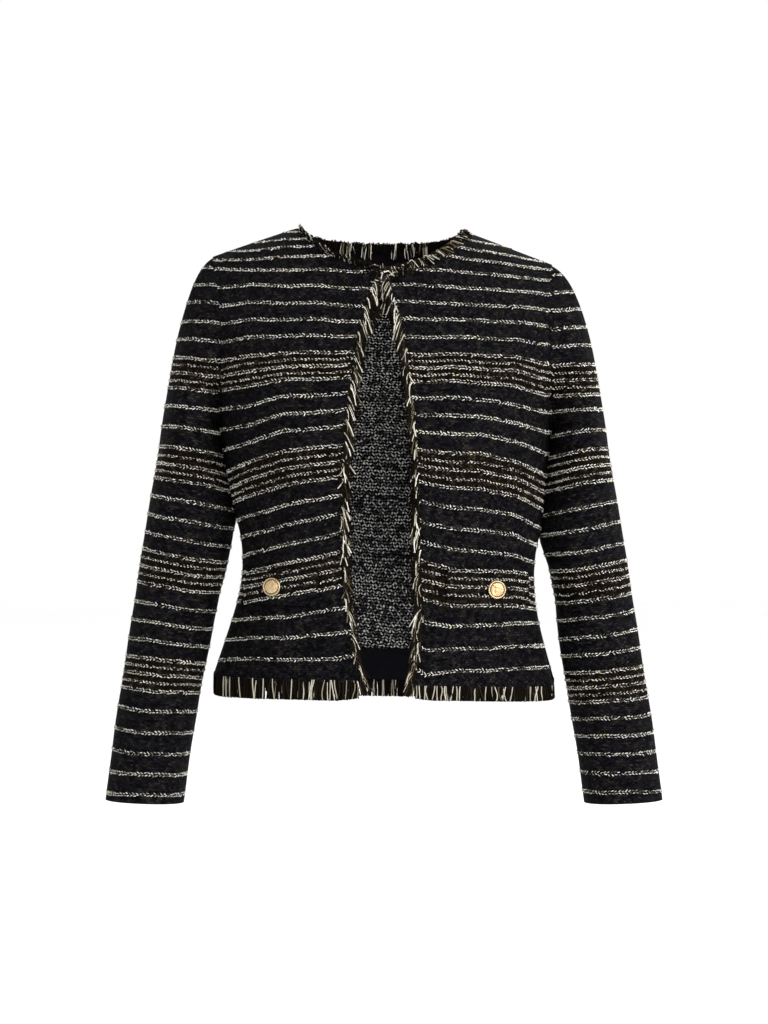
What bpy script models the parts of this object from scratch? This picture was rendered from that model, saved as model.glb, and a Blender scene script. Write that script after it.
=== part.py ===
"""A cropped, collarless tweed jacket with fringed edges, in its worn form with nobody in it.

Every panel is a cloth wall on one torso form, which is a stack of rounded sections that closes over the
shoulders. The sleeves are rings that leave the armholes and hang down. Sizes are in millimetres and
become metres when a mesh is made. X runs across, to the wearer's left, the front faces -Y and Z is up.
The origin is midway between the two neck points, where the jacket sits on the wearer.
Pieces called left are at -X, and pieces called right at +X.
"""

import math
from collections import namedtuple

import bmesh
import bpy
import numpy as np
from mathutils.bvhtree import BVHTree

METRES = 0.001

# Cloth
CLOTH = 2.0
SEAM_GAP = 0.3
LEFT, RIGHT = -1, 1
FRONT, BACK = -1, 1
DOWN = np.array([0, 0, -1.0])

# Torso form: one row for each level, from the neck down
Level = namedtuple("Level", "height half_width front back sway")
LEVELS = (
    Level(40, 197.0, 104, 100, -4.0),
    Level(0, 197.0, 106, 102, -4.0),
    Level(-60, 196.5, 109, 104, 0.0),
    Level(-110, 195.5, 112, 105, 1.5),
    Level(-150, 193.0, 114, 106, 2.0),
    Level(-185, 188.0, 115, 106, 2.5),
    Level(-205, 183.5, 115, 105, 2.5),
    Level(-222, 180.0, 115, 104, 2.5),
    Level(-260, 175.0, 113, 101, 3.0),
    Level(-300, 169.0, 108, 97, 4.5),
    Level(-335, 163.0, 104, 94, 5.0),
    Level(-370, 160.0, 103, 94, 5.0),
    Level(-395, 161.0, 104, 97, 4.0),
    Level(-425, 167.5, 107, 103, 2.0),
    Level(-455, 176.0, 110, 109, 1.0),
    Level(-490, 187.0, 113, 114, 0.0),
    Level(-530, 192.0, 115, 118, 0.0),
)
SECTION_ROUNDNESS = 2.4
CHEST_HEIGHT = -190.0
ARCH_PAST_RIDGE = 1.2
FRONT_ARCH = 1.9
BACK_ARCH = 2.1
SHOULDER_SLOPE = 0.383
SHOULDER_LEAN_BACK = 6.0
# The whole jacket hangs a little lower on the wearer's left.
HANG_TILT = 0.0190
TILT_REACH = 190.0

# Neck
NECK_HALF_WIDTH = 90.0
NECK_POINT_HEIGHT = 2.0
NECK_BLEND = 45.0
FRONT_NECK_DROP = 52.0
FRONT_NECK_ROUNDNESS = 1.6
BACK_NECK_DROP = 12.0
BACK_NECK_ROUNDNESS = 2.4
NECK_STATIONS = 6
BACK_NECK_STATIONS = 9
SHOULDER_STATIONS = 6

# Armholes: how far out the seam lies at each height
Armhole = namedtuple("Armhole", "height half_across")
ARMHOLE = (
    Armhole(20, 187.5),
    Armhole(-35, 187.0),
    Armhole(-50, 184.5),
    Armhole(-70, 181.5),
    Armhole(-95, 179.0),
    Armhole(-125, 178.0),
    Armhole(-155, 179.0),
    Armhole(-185, 180.5),
    Armhole(-205, 180.8),
    Armhole(-222, 180.0),
)
SHOULDER_HEIGHT = -35.0
UNDERARM_HEIGHT = -222.0
ARMHOLE_STEPS = 10
SIDE_FRONT_START = 7

# Seam between centre front and side front, which follows the form's sway only near the armhole
SWAY_FROM = -190.0
SWAY_UNTIL = -230.0
SideFront = namedtuple("SideFront", "height half_across")
SIDE_FRONT_SEAM = (
    SideFront(-183.5, 180.4),
    SideFront(-188, 170.0),
    SideFront(-196, 160.5),
    SideFront(-212, 155.0),
    SideFront(-235, 151.0),
    SideFront(-260, 146.0),
    SideFront(-285, 138.0),
    SideFront(-310, 131.5),
    SideFront(-340, 128.5),
    SideFront(-370, 127.5),
    SideFront(-400, 127.5),
    SideFront(-430, 128.0),
    SideFront(-460, 128.0),
    SideFront(-490, 128.0),
)

# Front edges: the jacket is hooked at the neck and falls open below
FrontEdge = namedtuple("FrontEdge", "height left right")
FRONT_EDGES = (
    FrontEdge(-40, -4.0, -1.0),
    FrontEdge(-50, -4.4, 0.6),
    FrontEdge(-62, -8.5, 3.0),
    FrontEdge(-75, -13.5, 7.0),
    FrontEdge(-91, -20.0, 12.5),
    FrontEdge(-108, -23.5, 17.0),
    FrontEdge(-130, -28.0, 22.0),
    FrontEdge(-170, -33.5, 27.0),
    FrontEdge(-205, -38.0, 30.5),
    FrontEdge(-240, -41.0, 34.0),
    FrontEdge(-290, -44.0, 36.0),
    FrontEdge(-335, -44.5, 37.5),
    FrontEdge(-389, -42.5, 40.0),
    FrontEdge(-414, -38.5, 41.0),
    FrontEdge(-440, -34.5, 38.0),
    FrontEdge(-466, -30.5, 34.0),
    FrontEdge(-480, -25.0, 30.0),
    FrontEdge(-495, -20.0, 28.0),
)

# Hem
HEM_FRONT = -489.0
HEM_SIDE = -491.0
HEM_BACK = -501.0

# Soft folds and fullness: a row for each, negative swell for a trough
Fold = namedtuple("Fold", "face x height lean length width swell")
FOLDS = (
    Fold(FRONT, -90, -222, 0, 62, 55, 9.0),
    Fold(FRONT, 92, -226, 0, 62, 55, 9.0),
    Fold(FRONT, -150, -176, 60, 34, 9, -2.6),
    Fold(FRONT, 152, -182, -56, 36, 10, -2.8),
    Fold(FRONT, -112, -300, 72, 46, 12, -2.2),
    Fold(FRONT, 120, -318, -68, 42, 13, -2.4),
    Fold(FRONT, -60, -348, 8, 52, 9, 2.0),
    Fold(FRONT, 66, -352, -12, 48, 10, 2.2),
    Fold(FRONT, -96, -450, 14, 44, 16, 2.6),
    Fold(FRONT, 84, -452, -10, 46, 15, 2.8),
    Fold(BACK, -62, -300, 74, 48, 11, -2.4),
    Fold(BACK, 70, -322, -70, 52, 12, -2.6),
    Fold(BACK, -20, -352, 84, 60, 10, -2.0),
    Fold(BACK, -122, -206, 40, 50, 13, -2.8),
    Fold(BACK, 126, -212, -44, 46, 12, -2.6),
    Fold(BACK, 40, -446, 6, 50, 18, 2.6),
    Fold(BACK, -84, -440, -8, 48, 17, 2.4),
)

# Folds die out where the section turns to the side, and at the shoulder line
CALM_SHARE = 0.5
CALM_RIDGE = 4.0

# Sleeves: a row for each ring below the cap
Ring = namedtuple("Ring", "height outer inner front back")
SLEEVE_RINGS = (
    Ring(-236, 247.0, 181.0, -72, 73),
    Ring(-266, 251.5, 178.0, -67, 71),
    Ring(-303, 258.5, 172.5, -59, 67),
    Ring(-332, 263.5, 169.5, -53, 62),
    Ring(-365, 268.5, 175.5, -50, 58),
    Ring(-398, 273.0, 182.5, -50, 54),
    Ring(-431, 278.5, 188.0, -51, 49),
    Ring(-464, 283.0, 192.5, -53, 43),
    Ring(-497, 288.0, 199.0, -55, 37),
    Ring(-530, 293.0, 204.0, -58, 31),
    Ring(-563, 297.5, 209.5, -60, 26),
    Ring(-594, 301.0, 214.0, -61, 22),
    Ring(-625, 304.5, 218.0, -62, 18),
)
SLEEVE_ROUNDNESS = 2.15
SLEEVE_SEAM_CLEARANCE = 0.2
SLEEVE_GIRTH = 320.0
CAP_STEPS = 8
CAP_SPACING = 1.25
CAP_LEAVE_UNDERARM = 16.0
CAP_LEAVE_TOP = {LEFT: 104.0, RIGHT: 130.0}
CUFF_SLANT = 0.04
SleeveFold = namedtuple("SleeveFold", "side turn height lean length width swell")
SLEEVE_FOLDS = (
    SleeveFold(LEFT, 0.30, -330, 0.5, 46, 12, -2.4),
    SleeveFold(LEFT, 0.36, -392, 0.4, 44, 11, -2.8),
    SleeveFold(LEFT, 0.22, -472, -0.3, 40, 12, -2.0),
    SleeveFold(LEFT, 0.70, -360, 0.3, 50, 13, -2.4),
    SleeveFold(LEFT, 0.30, -560, 0.4, 38, 12, -2.0),
    SleeveFold(RIGHT, 0.28, -344, 0.4, 48, 13, -2.6),
    SleeveFold(RIGHT, 0.35, -404, 0.5, 42, 11, -2.6),
    SleeveFold(RIGHT, 0.20, -488, -0.4, 42, 12, -2.2),
    SleeveFold(RIGHT, 0.72, -372, 0.4, 46, 12, -2.4),
    SleeveFold(RIGHT, 0.30, -574, 0.3, 40, 12, -2.0),
)

# Pocket flaps and buttons
Flap = namedtuple("Flap", "side inner outer top button_across button_height")
FLAPS = (
    Flap(LEFT, 69.0, 147.0, -374.0, 117.0, -393.0),
    Flap(RIGHT, 67.0, 155.0, -368.0, 118.0, -391.0),
)
FLAP_DEPTH = 38.0
FLAP_GAP = 0.6
FLAP_ROWS = 7
FLAP_COLUMNS = 17
BUTTON_RADIUS = 10.0
BUTTON_SIDES = 18
ButtonRing = namedtuple("ButtonRing", "radius height")
BUTTON_PROFILE = (
    ButtonRing(2.5, 0.3),
    ButtonRing(2.5, 2.0),
    ButtonRing(8.6, 2.0),
    ButtonRing(BUTTON_RADIUS, 3.0),
    ButtonRing(BUTTON_RADIUS, 4.2),
    ButtonRing(9.3, 5.1),
    ButtonRing(8.4, 5.1),
    ButtonRing(7.8, 4.5),
    ButtonRing(4.2, 5.5),
    ButtonRing(1.5, 5.9),
)

# Facing inside the back hem, and the hook and eye at the neck
FACING_DEPTH = 36.0
FACING_CLOTH = 1.0
HOOK_HALF_WIDTH = 9.0
HOOK_TOP = -56.0
HOOK_DEPTH = 5.0
HOOK_THICKNESS = 1.0

# Fringe
LOCK_PITCH = 9.4
LOCK_SHARE = 0.76
LOCK_TAPER = 0.6
STRIP_DEPTH = 2.0
STRIP_THICKNESS = 1.4
SHORTEST_RUN = 1.0
HEM_FRINGE_LENGTH = 18.0
EDGE_FRINGE_LENGTH = 16.0
NECK_FRINGE_LENGTH = 11.0
# How far the locks stray, as shares of their length
STRAY_ASIDE = 0.08
STRAY_OUT = 0.06
STRAY_LENGTH = 0.14
NECK_STRAY_ASIDE = 0.12
NECK_STRAY_LENGTH = 0.16
# Front-edge locks lean into the opening as far as its width allows
LEAN_LEAST = 0.05
LEAN_MOST = 0.62
LEAN_ROOM = 2.5
# Neck locks: the strip's overhang, the first bend over the edge and the droop of the rest
NECK_OVERHANG = 1.0
BEND_OVER = 1.1
BEND_DOWN = 0.3
HANG_OVER = 2.0
FRONT_DROOP = 0.14
BACK_DROOP = 0.10
NECK_TIP_SCALE = 0.7
# Bare lengths at the two ends of each fringe
Ends = namedtuple("Ends", "first last")
NECK_FRONT_ENDS = Ends(1.0, 1.5)
NECK_BACK_ENDS = Ends(1.5, 1.5)
EDGE_ENDS = Ends(16.0, 1.0)
HEM_FRONT_ENDS = Ends(1.0, 0.5)
HEM_BACK_ENDS = Ends(0.5, 0.5)

# Colours and finish: base colour, roughness, metallic
Finish = namedtuple("Finish", "red green blue roughness metallic")
TWEED = Finish(0.018, 0.017, 0.020, 0.85, 0.0)
FACING = Finish(0.010, 0.010, 0.014, 0.80, 0.0)
FRINGE = Finish(0.230, 0.190, 0.120, 0.75, 0.0)
GOLD = Finish(0.800, 0.560, 0.230, 0.30, 1.0)
STEEL = Finish(0.050, 0.050, 0.055, 0.35, 1.0)


def smooth(table, column, height):
    """The named column of a table at a height, on a curve through its rows."""
    rows = sorted(table, key=lambda row: row.height)
    known = np.array([row.height for row in rows], float)
    values = np.array([getattr(row, column) for row in rows], float)
    slopes = np.gradient(values, known)
    height = np.clip(height, known[0], known[-1])
    low = np.clip(np.searchsorted(known, height) - 1, 0, len(known) - 2)
    span = known[low + 1] - known[low]
    t = (height - known[low]) / span
    start = (1 + 2 * t) * (1 - t) ** 2 * values[low] + t * (1 - t) ** 2 * span * slopes[low]
    end = t * t * (3 - 2 * t) * values[low + 1] - t * t * (1 - t) * span * slopes[low + 1]
    return start + end


def unit(vectors):
    return vectors / np.maximum(np.linalg.norm(vectors, axis=-1, keepdims=True), 1e-12)


def along(points, axis):
    return np.gradient(points, axis=axis)


def ridge_height(x):
    """Height of the shoulder line, which runs on to the middle of the neck as a smooth crest."""
    middle = smooth(LEVELS, "sway", 0.0)
    reach = np.hypot(x - middle, NECK_BLEND) - math.hypot(NECK_HALF_WIDTH, NECK_BLEND)
    return NECK_POINT_HEIGHT - SHOULDER_SLOPE * reach


def section_share(x, height):
    """How much of the section's depth is left this far from the middle, from 1 there to 0 at the side."""
    reach = np.abs(x - smooth(LEVELS, "sway", height)) / smooth(LEVELS, "half_width", height)
    return np.clip(1 - reach**SECTION_ROUNDNESS, 0, 1) ** (1 / SECTION_ROUNDNESS)


def arch_rise(x, height):
    """0 up to the chest, then 1 at the shoulder line."""
    return np.clip((height - CHEST_HEIGHT) / (ridge_height(x) - CHEST_HEIGHT), 0, 1)


def form_point(face, x, height):
    """A point on the smooth torso form."""
    depth = smooth(LEVELS, "front" if face == FRONT else "back", height)
    power = FRONT_ARCH if face == FRONT else BACK_ARCH
    rise = arch_rise(x, height)
    arch = (1 - rise**power) ** (1 / power)
    y = SHOULDER_LEAN_BACK * rise**2 + face * depth * section_share(x, height) * arch
    return np.stack(np.broadcast_arrays(x, y, height), axis=-1)


def form_excess(face, x, y, height):
    """Below 0 inside the torso form, 0 on it, above 0 outside: its gradient is the normal."""
    depth = smooth(LEVELS, "front" if face == FRONT else "back", height)
    power = FRONT_ARCH if face == FRONT else BACK_ARCH
    reach = np.abs(x - smooth(LEVELS, "sway", height)) / smooth(LEVELS, "half_width", height)
    rise = np.clip((height - CHEST_HEIGHT) / (ridge_height(x) - CHEST_HEIGHT), 0, ARCH_PAST_RIDGE)
    stand = np.abs(y - SHOULDER_LEAN_BACK * rise**2) / depth
    low = stand**SECTION_ROUNDNESS + reach**SECTION_ROUNDNESS - 1
    share = np.clip(1 - reach**SECTION_ROUNDNESS, 1e-6, 1) ** (power / SECTION_ROUNDNESS)
    high = stand**power - share * (1 - rise**power)
    return np.where(height < CHEST_HEIGHT, low, high)


def form_normal(face, points):
    """Outward normals of the torso form, by small steps."""
    step = 0.05
    x, y, height = np.moveaxis(points, -1, 0)
    slopes = [
        form_excess(face, x + step, y, height) - form_excess(face, x - step, y, height),
        form_excess(face, x, y + step, height) - form_excess(face, x, y - step, height),
        form_excess(face, x, y, height + step) - form_excess(face, x, y, height - step),
    ]
    return unit(np.stack(slopes, axis=-1))


def fold_swell(face, x, height):
    """How far the folds and the fullness lift the cloth off the form."""
    swell = np.zeros(np.broadcast(x, height).shape)
    for fold in FOLDS:
        if fold.face != face:
            continue
        lean = math.radians(fold.lean)
        across, up = x - fold.x, height - fold.height
        run = up * math.cos(lean) - across * math.sin(lean)
        aside = across * math.cos(lean) + up * math.sin(lean)
        swell += fold.swell * np.exp(-((run / fold.length) ** 2) - (aside / fold.width) ** 2)
    calm_at_sides = np.clip(section_share(x, height) / CALM_SHARE, 0, 1) ** 2
    calm_at_ridge = np.clip(CALM_RIDGE * (1 - arch_rise(x, height)), 0, 1)
    return swell * calm_at_sides * calm_at_ridge


def tilted(points):
    """The points with the jacket's slight lean to the wearer's left."""
    points = np.array(points, float)
    points[..., 2] -= HANG_TILT * np.clip(points[..., 0], -TILT_REACH, TILT_REACH)
    return points


def cloth_at(face, x, height):
    """Outer points of the cloth and their normals."""
    points = form_point(face, x, height)
    normals = form_normal(face, points)
    points = points + normals * fold_swell(face, x, height)[..., None]
    return tilted(points), normals


def half_turn(x, height):
    """The place across the form as an angle, -90 to 90 degrees from side seam to side seam."""
    offset = x - smooth(LEVELS, "sway", height)
    reach = np.clip(np.abs(offset) / smooth(LEVELS, "half_width", height), 0, 1)
    return np.sign(offset) * np.arcsin(reach ** (SECTION_ROUNDNESS / 2))


def across_of(turn, height):
    reach = np.abs(np.sin(turn)) ** (2 / SECTION_ROUNDNESS)
    half_width = smooth(LEVELS, "half_width", height)
    return smooth(LEVELS, "sway", height) + np.sign(turn) * half_width * reach


def patch(left, right, top, bottom):
    """Heights and places across of a grid between four borders, each an array of (x, height)."""
    borders = [np.stack([half_turn(*edge.T), edge[:, 1]], axis=-1) for edge in (left, right, top, bottom)]
    left, right, top, bottom = borders
    s = ((top[:, 0] - top[0, 0]) / (top[-1, 0] - top[0, 0]))[None, :, None]
    t = ((left[:, 1] - left[0, 1]) / (left[-1, 1] - left[0, 1]))[:, None, None]
    sides = (1 - s) * left[:, None] + s * right[:, None]
    ends = (1 - t) * top[None] + t * bottom[None]
    corners = (1 - t) * ((1 - s) * left[0] + s * right[0]) + t * ((1 - s) * left[-1] + s * right[-1])
    turn, height = np.moveaxis(sides + ends - corners, -1, 0)
    return across_of(turn, height), height


def armhole_border(side):
    """(x, height) of the armhole's stations, from the shoulder point to the underarm."""
    x = smooth(LEVELS, "sway", SHOULDER_HEIGHT) + side * smooth(ARMHOLE, "half_across", SHOULDER_HEIGHT)
    top = ridge_height(x)
    middle, half = (top + UNDERARM_HEIGHT) / 2, (top - UNDERARM_HEIGHT) / 2
    height = middle + half * np.cos(np.linspace(0, math.pi, ARMHOLE_STEPS + 1))
    reach = np.minimum(smooth(ARMHOLE, "half_across", height), smooth(LEVELS, "half_width", height))
    across = smooth(LEVELS, "sway", height) + side * reach
    across[0] = x
    return np.stack([across, height], axis=-1)


def side_front_border(side):
    """(x, height) of the side-front seam, from its start in the armhole to the hem."""
    start = armhole_border(side)[SIDE_FRONT_START]
    height = np.array([row.height for row in SIDE_FRONT_SEAM], float)
    share = np.clip((height - SWAY_UNTIL) / (SWAY_FROM - SWAY_UNTIL), 0, 1)
    sway = share * smooth(LEVELS, "sway", SWAY_FROM)
    x = sway + side * np.array([row.half_across for row in SIDE_FRONT_SEAM])
    border = np.stack([x, height], axis=-1)
    border[0] = start
    border[-1, 1] = hem_height(FRONT, border[-1, 0])
    return border


def side_border(side):
    """(x, height) of the side seam, with as many rows as the side-front seam."""
    rows = side_front_border(side)[:, 1]
    share = (rows - rows[0]) / (rows[-1] - rows[0])
    height = UNDERARM_HEIGHT + (HEM_SIDE - UNDERARM_HEIGHT) * share
    x = smooth(LEVELS, "sway", height) + side * smooth(LEVELS, "half_width", height)
    return np.stack([x, height], axis=-1)


def hem_height(face, x):
    middle = HEM_FRONT if face == FRONT else HEM_BACK
    reach = np.clip(np.abs(x) / smooth(LEVELS, "half_width", HEM_SIDE), 0, 1)
    return middle + (HEM_SIDE - middle) * reach**2


def neck_height(face, x):
    drop = FRONT_NECK_DROP if face == FRONT else BACK_NECK_DROP
    power = FRONT_NECK_ROUNDNESS if face == FRONT else BACK_NECK_ROUNDNESS
    reach = np.clip(np.abs(x - smooth(LEVELS, "sway", 0.0)) / NECK_HALF_WIDTH, 0, 1)
    return NECK_POINT_HEIGHT - drop * (1 - reach**power) ** (1 / power)


def shoulder_stations(side):
    """Places across of the shoulder seam's stations, from the neck point out."""
    neck = smooth(LEVELS, "sway", 0.0) + side * NECK_HALF_WIDTH
    return np.linspace(neck, armhole_border(side)[0, 0], SHOULDER_STATIONS)


def edge_at(side, height):
    return smooth(FRONT_EDGES, "left" if side == LEFT else "right", height)


def front_grid(side):
    """Centre front: x and height of its points, a column from each top station down to the hem."""
    outer = np.concatenate([armhole_border(side)[:SIDE_FRONT_START], side_front_border(side)])
    share = (outer[:, 1] - outer[0, 1]) / (outer[-1, 1] - outer[0, 1])
    middle = smooth(LEVELS, "sway", 0.0)
    start = edge_at(side, neck_height(FRONT, middle))
    first = abs(math.asin((start - middle) / NECK_HALF_WIDTH))
    neck_x = middle + side * NECK_HALF_WIDTH * np.sin(np.linspace(first, math.pi / 2, NECK_STATIONS))
    neck = np.stack([neck_x, neck_height(FRONT, neck_x)], axis=-1)
    shoulder_x = shoulder_stations(side)[1:]
    shoulder = np.stack([shoulder_x, ridge_height(shoulder_x)], axis=-1)
    top = np.concatenate([neck, shoulder])
    end_height = hem_height(FRONT, edge_at(side, HEM_FRONT))
    height = top[0, 1] + (end_height - top[0, 1]) * share
    inner = np.stack([edge_at(side, height), height], axis=-1)
    inner[0] = top[0]
    hem_x = np.linspace(inner[-1, 0], outer[-1, 0], len(top))
    bottom = np.stack([hem_x, hem_height(FRONT, hem_x)], axis=-1)
    return patch(inner, outer, top, bottom)


def side_front_grid(side):
    """Side front: its top border is the low stretch of the armhole."""
    top = armhole_border(side)[SIDE_FRONT_START:]
    places = np.linspace(0, len(top) - 1, 2 * len(top) - 1)
    top = np.stack([np.interp(places, range(len(top)), top[:, i]) for i in range(2)], axis=-1)
    inner, outer = side_front_border(side), side_border(side)
    turn = np.linspace(half_turn(*inner[-1]), side * math.pi / 2, len(top))
    hem_x = across_of(turn, HEM_SIDE)
    bottom = np.stack([hem_x, hem_height(FRONT, hem_x)], axis=-1)
    return patch(inner, outer, top, bottom)


def back_grid():
    sides = []
    for side in (LEFT, RIGHT):
        sides.append(np.concatenate([armhole_border(side)[:-1], side_border(side)]))
    middle = smooth(LEVELS, "sway", 0.0)
    neck_turn = np.linspace(-math.pi / 2, math.pi / 2, BACK_NECK_STATIONS)
    neck_x = middle + NECK_HALF_WIDTH * np.sin(neck_turn)
    neck = np.stack([neck_x, neck_height(BACK, neck_x)], axis=-1)
    shoulders = []
    for side in (LEFT, RIGHT):
        x = shoulder_stations(side)[1:]
        shoulders.append(np.stack([x, ridge_height(x)], axis=-1))
    top = np.concatenate([shoulders[0][::-1], neck, shoulders[1]])
    turn = np.linspace(-math.pi / 2, math.pi / 2, len(top))
    hem_x = across_of(turn, HEM_SIDE)
    bottom = np.stack([hem_x, hem_height(BACK, hem_x)], axis=-1)
    return patch(sides[0], sides[1], top, bottom)


def pull_in(points, distance=SEAM_GAP / 2):
    """The grid with its borders drawn in square to themselves, each by half a seam gap."""
    moved = points.copy()
    for axis in (0, 1):
        rows = np.moveaxis(points, axis, 0)
        target = np.moveaxis(moved, axis, 0)
        for border, neighbour in ((0, 1), (-1, -2)):
            run = unit(along(rows[border], 0))
            inward = rows[neighbour] - rows[border]
            inward = unit(inward - run * np.sum(inward * run, axis=-1, keepdims=True))
            target[border] += inward * distance
    return moved


def chord_line(points, normals):
    """Side-front top stations that lie midway on their chords, so that they meet the sleeve's sides."""
    for middle in range(1, points.shape[1], 2):
        points[0, middle] = (points[0, middle - 1] + points[0, middle + 1]) / 2
        normals[0, middle] = unit(normals[0, middle - 1] + normals[0, middle + 1])
    return points, normals


def make_object(name, points, faces, finish):
    """A closed mesh object from points in millimetres."""
    mesh = bpy.data.meshes.new(name)
    mesh.from_pydata((np.asarray(points) * METRES).tolist(), [], faces)
    shape = bmesh.new()
    shape.from_mesh(mesh)
    bmesh.ops.recalc_face_normals(shape, faces=shape.faces)
    if shape.calc_volume(signed=True) < 0:
        bmesh.ops.reverse_faces(shape, faces=shape.faces)
    shape.to_mesh(mesh)
    shape.free()
    mesh.materials.append(material(name, finish))
    bpy.context.scene.collection.objects.link(bpy.data.objects.new(name, mesh))


def material(name, finish):
    made = bpy.data.materials.new(name)
    made.use_nodes = True
    shader = made.node_tree.nodes["Principled BSDF"]
    shader.inputs["Base Color"].default_value = (finish.red, finish.green, finish.blue, 1)
    shader.inputs["Roughness"].default_value = finish.roughness
    shader.inputs["Metallic"].default_value = finish.metallic
    return made


def make_wall(name, outer, inner, finish, ring=False):
    """A wall between two grids of points. A ring closes on itself across its columns."""
    rows, columns = outer.shape[:2]
    index = np.arange(2 * rows * columns).reshape(2, rows, columns)
    if ring:
        index = np.concatenate([index, index[:, :, :1]], axis=2)
    faces = []
    for layer in index:
        quads = np.stack([layer[:-1, :-1], layer[:-1, 1:], layer[1:, 1:], layer[1:, :-1]], axis=-1)
        faces += quads.reshape(-1, 4).tolist()
    borders = [index[:, 0], index[:, -1]]
    if not ring:
        borders += [index[:, :, 0], index[:, :, -1]]
    for border in borders:
        quads = np.stack([border[0, :-1], border[0, 1:], border[1, 1:], border[1, :-1]], axis=-1)
        faces += quads.tolist()
    points = np.concatenate([outer.reshape(-1, 3), inner.reshape(-1, 3)])
    make_object(name, points, faces, finish)


def panel(name, face, grid, midway=False):
    """A cloth panel on the torso form. Returns its outer points and normals for what is sewn to it."""
    points, normals = cloth_at(face, *grid)
    if midway:
        points, normals = chord_line(points, normals)
    points = pull_in(points)
    make_wall(name, points, points - normals * CLOTH, TWEED)
    return points, normals


def armhole_loop(side):
    """The armhole seam as one closed loop: points, normals and the direction into the hole."""
    borders = armhole_border(side)
    front, front_normals = cloth_at(FRONT, *borders.T)
    back, back_normals = cloth_at(BACK, *borders.T)
    points = np.concatenate([front, back[-2:0:-1]])
    normals = np.concatenate([front_normals, back_normals[-2:0:-1]])
    tangents = unit(np.roll(points, -1, axis=0) - np.roll(points, 1, axis=0))
    into = unit(np.cross(tangents, normals))
    if np.sum(into * (points.mean(axis=0) - points)) < 0:
        into = -into
    return points, normals, into


def sleeve_ring(side, turns, height):
    """Points of the ring at a height: turn 0 is its outer side, a quarter turn its front."""
    columns = ("outer", "inner", "front", "back")
    outer, inner, front, back = (smooth(SLEEVE_RINGS, column, height) for column in columns)
    inner = inner + side * smooth(LEVELS, "sway", height)
    across = np.sign(np.cos(turns)) * np.abs(np.cos(turns)) ** (2 / SLEEVE_ROUNDNESS)
    forward = np.sign(np.sin(turns)) * np.abs(np.sin(turns)) ** (2 / SLEEVE_ROUNDNESS)
    x = side * ((outer + inner) / 2 + (outer - inner) / 2 * across)
    y = (front + back) / 2 - (back - front) / 2 * forward
    down = (SLEEVE_RINGS[0].height - height) / (SLEEVE_RINGS[0].height - SLEEVE_RINGS[-1].height)
    z = height + CUFF_SLANT * down * (outer - inner) / 2 * across
    z = z - HANG_TILT * side * TILT_REACH * (1 - down)
    return np.stack(np.broadcast_arrays(x, y, z), axis=-1)


def sleeve_swell(side, turns, height):
    swell = np.zeros(np.broadcast(turns, height).shape)
    for fold in SLEEVE_FOLDS:
        if fold.side != side:
            continue
        around = ((turns / (2 * math.pi) - fold.turn + 0.5) % 1 - 0.5) * SLEEVE_GIRTH
        aside = height - fold.height - fold.lean * around
        swell += fold.swell * np.exp(-((around / fold.length) ** 2) - (aside / fold.width) ** 2)
    return swell


def sleeve_grid(side):
    """Outer points and normals of a sleeve, a row for each ring from the armhole down."""
    seam, seam_normals, into = armhole_loop(side)
    turns = np.linspace(0, 2 * math.pi, len(seam), endpoint=False)
    drop = (1 - np.cos(turns)) / 2
    bend = (math.pi / 2 * drop)[:, None]
    leave = np.cos(bend) * into + np.sin(bend) * seam_normals
    start_normals = np.cos(bend) * seam_normals - np.sin(bend) * into
    start = seam + into * SLEEVE_SEAM_CLEARANCE
    first = SLEEVE_RINGS[0].height
    landing = sleeve_ring(side, turns, first)
    fall = start[:, 2:] - landing[:, 2:]
    arrive = (sleeve_ring(side, turns, first - 1.0) - landing) * fall
    leave = leave * (CAP_LEAVE_UNDERARM * drop + CAP_LEAVE_TOP[side] * (1 - drop))[:, None]
    rows = []
    for t in np.linspace(0, 1, CAP_STEPS + 1)[:-1] ** CAP_SPACING:
        begun = (1 + 2 * t) * (1 - t) ** 2 * start + t * (1 - t) ** 2 * leave
        rows.append(begun + t * t * (3 - 2 * t) * landing - t * t * (1 - t) * arrive)
    rows += [sleeve_ring(side, turns, ring.height) for ring in SLEEVE_RINGS]
    points = np.array(rows)
    around = np.roll(points, -1, axis=1) - np.roll(points, 1, axis=1)
    normals = unit(np.cross(around, along(points, 0)))
    if np.sum(normals[-1, 0] * (points[-1, 0] - points[-1].mean(axis=0))) < 0:
        normals = -normals
    normals[0] = start_normals
    normals[1] = unit(normals[1] * 2 + start_normals)
    swell = sleeve_swell(side, turns[None], points[..., 2])
    return points + normals * swell[..., None], normals


def make_sleeve(name, side):
    points, normals = sleeve_grid(side)
    make_wall(name, points, points - normals * CLOTH, TWEED, ring=True)


def lay_on(grids, points):
    """The nearest places to some points on the outside of panels, given by their grids of points."""
    corners, triangles = [], []
    for grid in grids:
        rows, columns = grid.shape[:2]
        index = len(corners) + np.arange(rows * columns).reshape(rows, columns)
        corners += grid.reshape(-1, 3).tolist()
        squares = np.stack([index[:-1, :-1], index[:-1, 1:], index[1:, 1:], index[1:, :-1]], axis=-1)
        for a, b, c, d in squares.reshape(-1, 4).tolist():
            triangles += [(a, b, c), (a, c, d)]
    tree = BVHTree.FromPolygons(corners, triangles)
    places = [tree.find_nearest(point)[0] for point in points.reshape(-1, 3)]
    return np.array(places).reshape(points.shape)


def make_flap(name, flap, grids):
    """A flap on the front, its points moved out from the panels that it lies on."""
    height = flap.top - np.linspace(0, FLAP_DEPTH, FLAP_ROWS)
    ends = half_turn(flap.side * np.array([flap.inner, flap.outer]), np.full(2, flap.top))
    turn, height = np.meshgrid(np.linspace(*ends, FLAP_COLUMNS), height)
    points, normals = cloth_at(FRONT, across_of(turn, height), height)
    under = lay_on(grids, points) + normals * FLAP_GAP
    make_wall(name, under + normals * CLOTH, under, TWEED)


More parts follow.
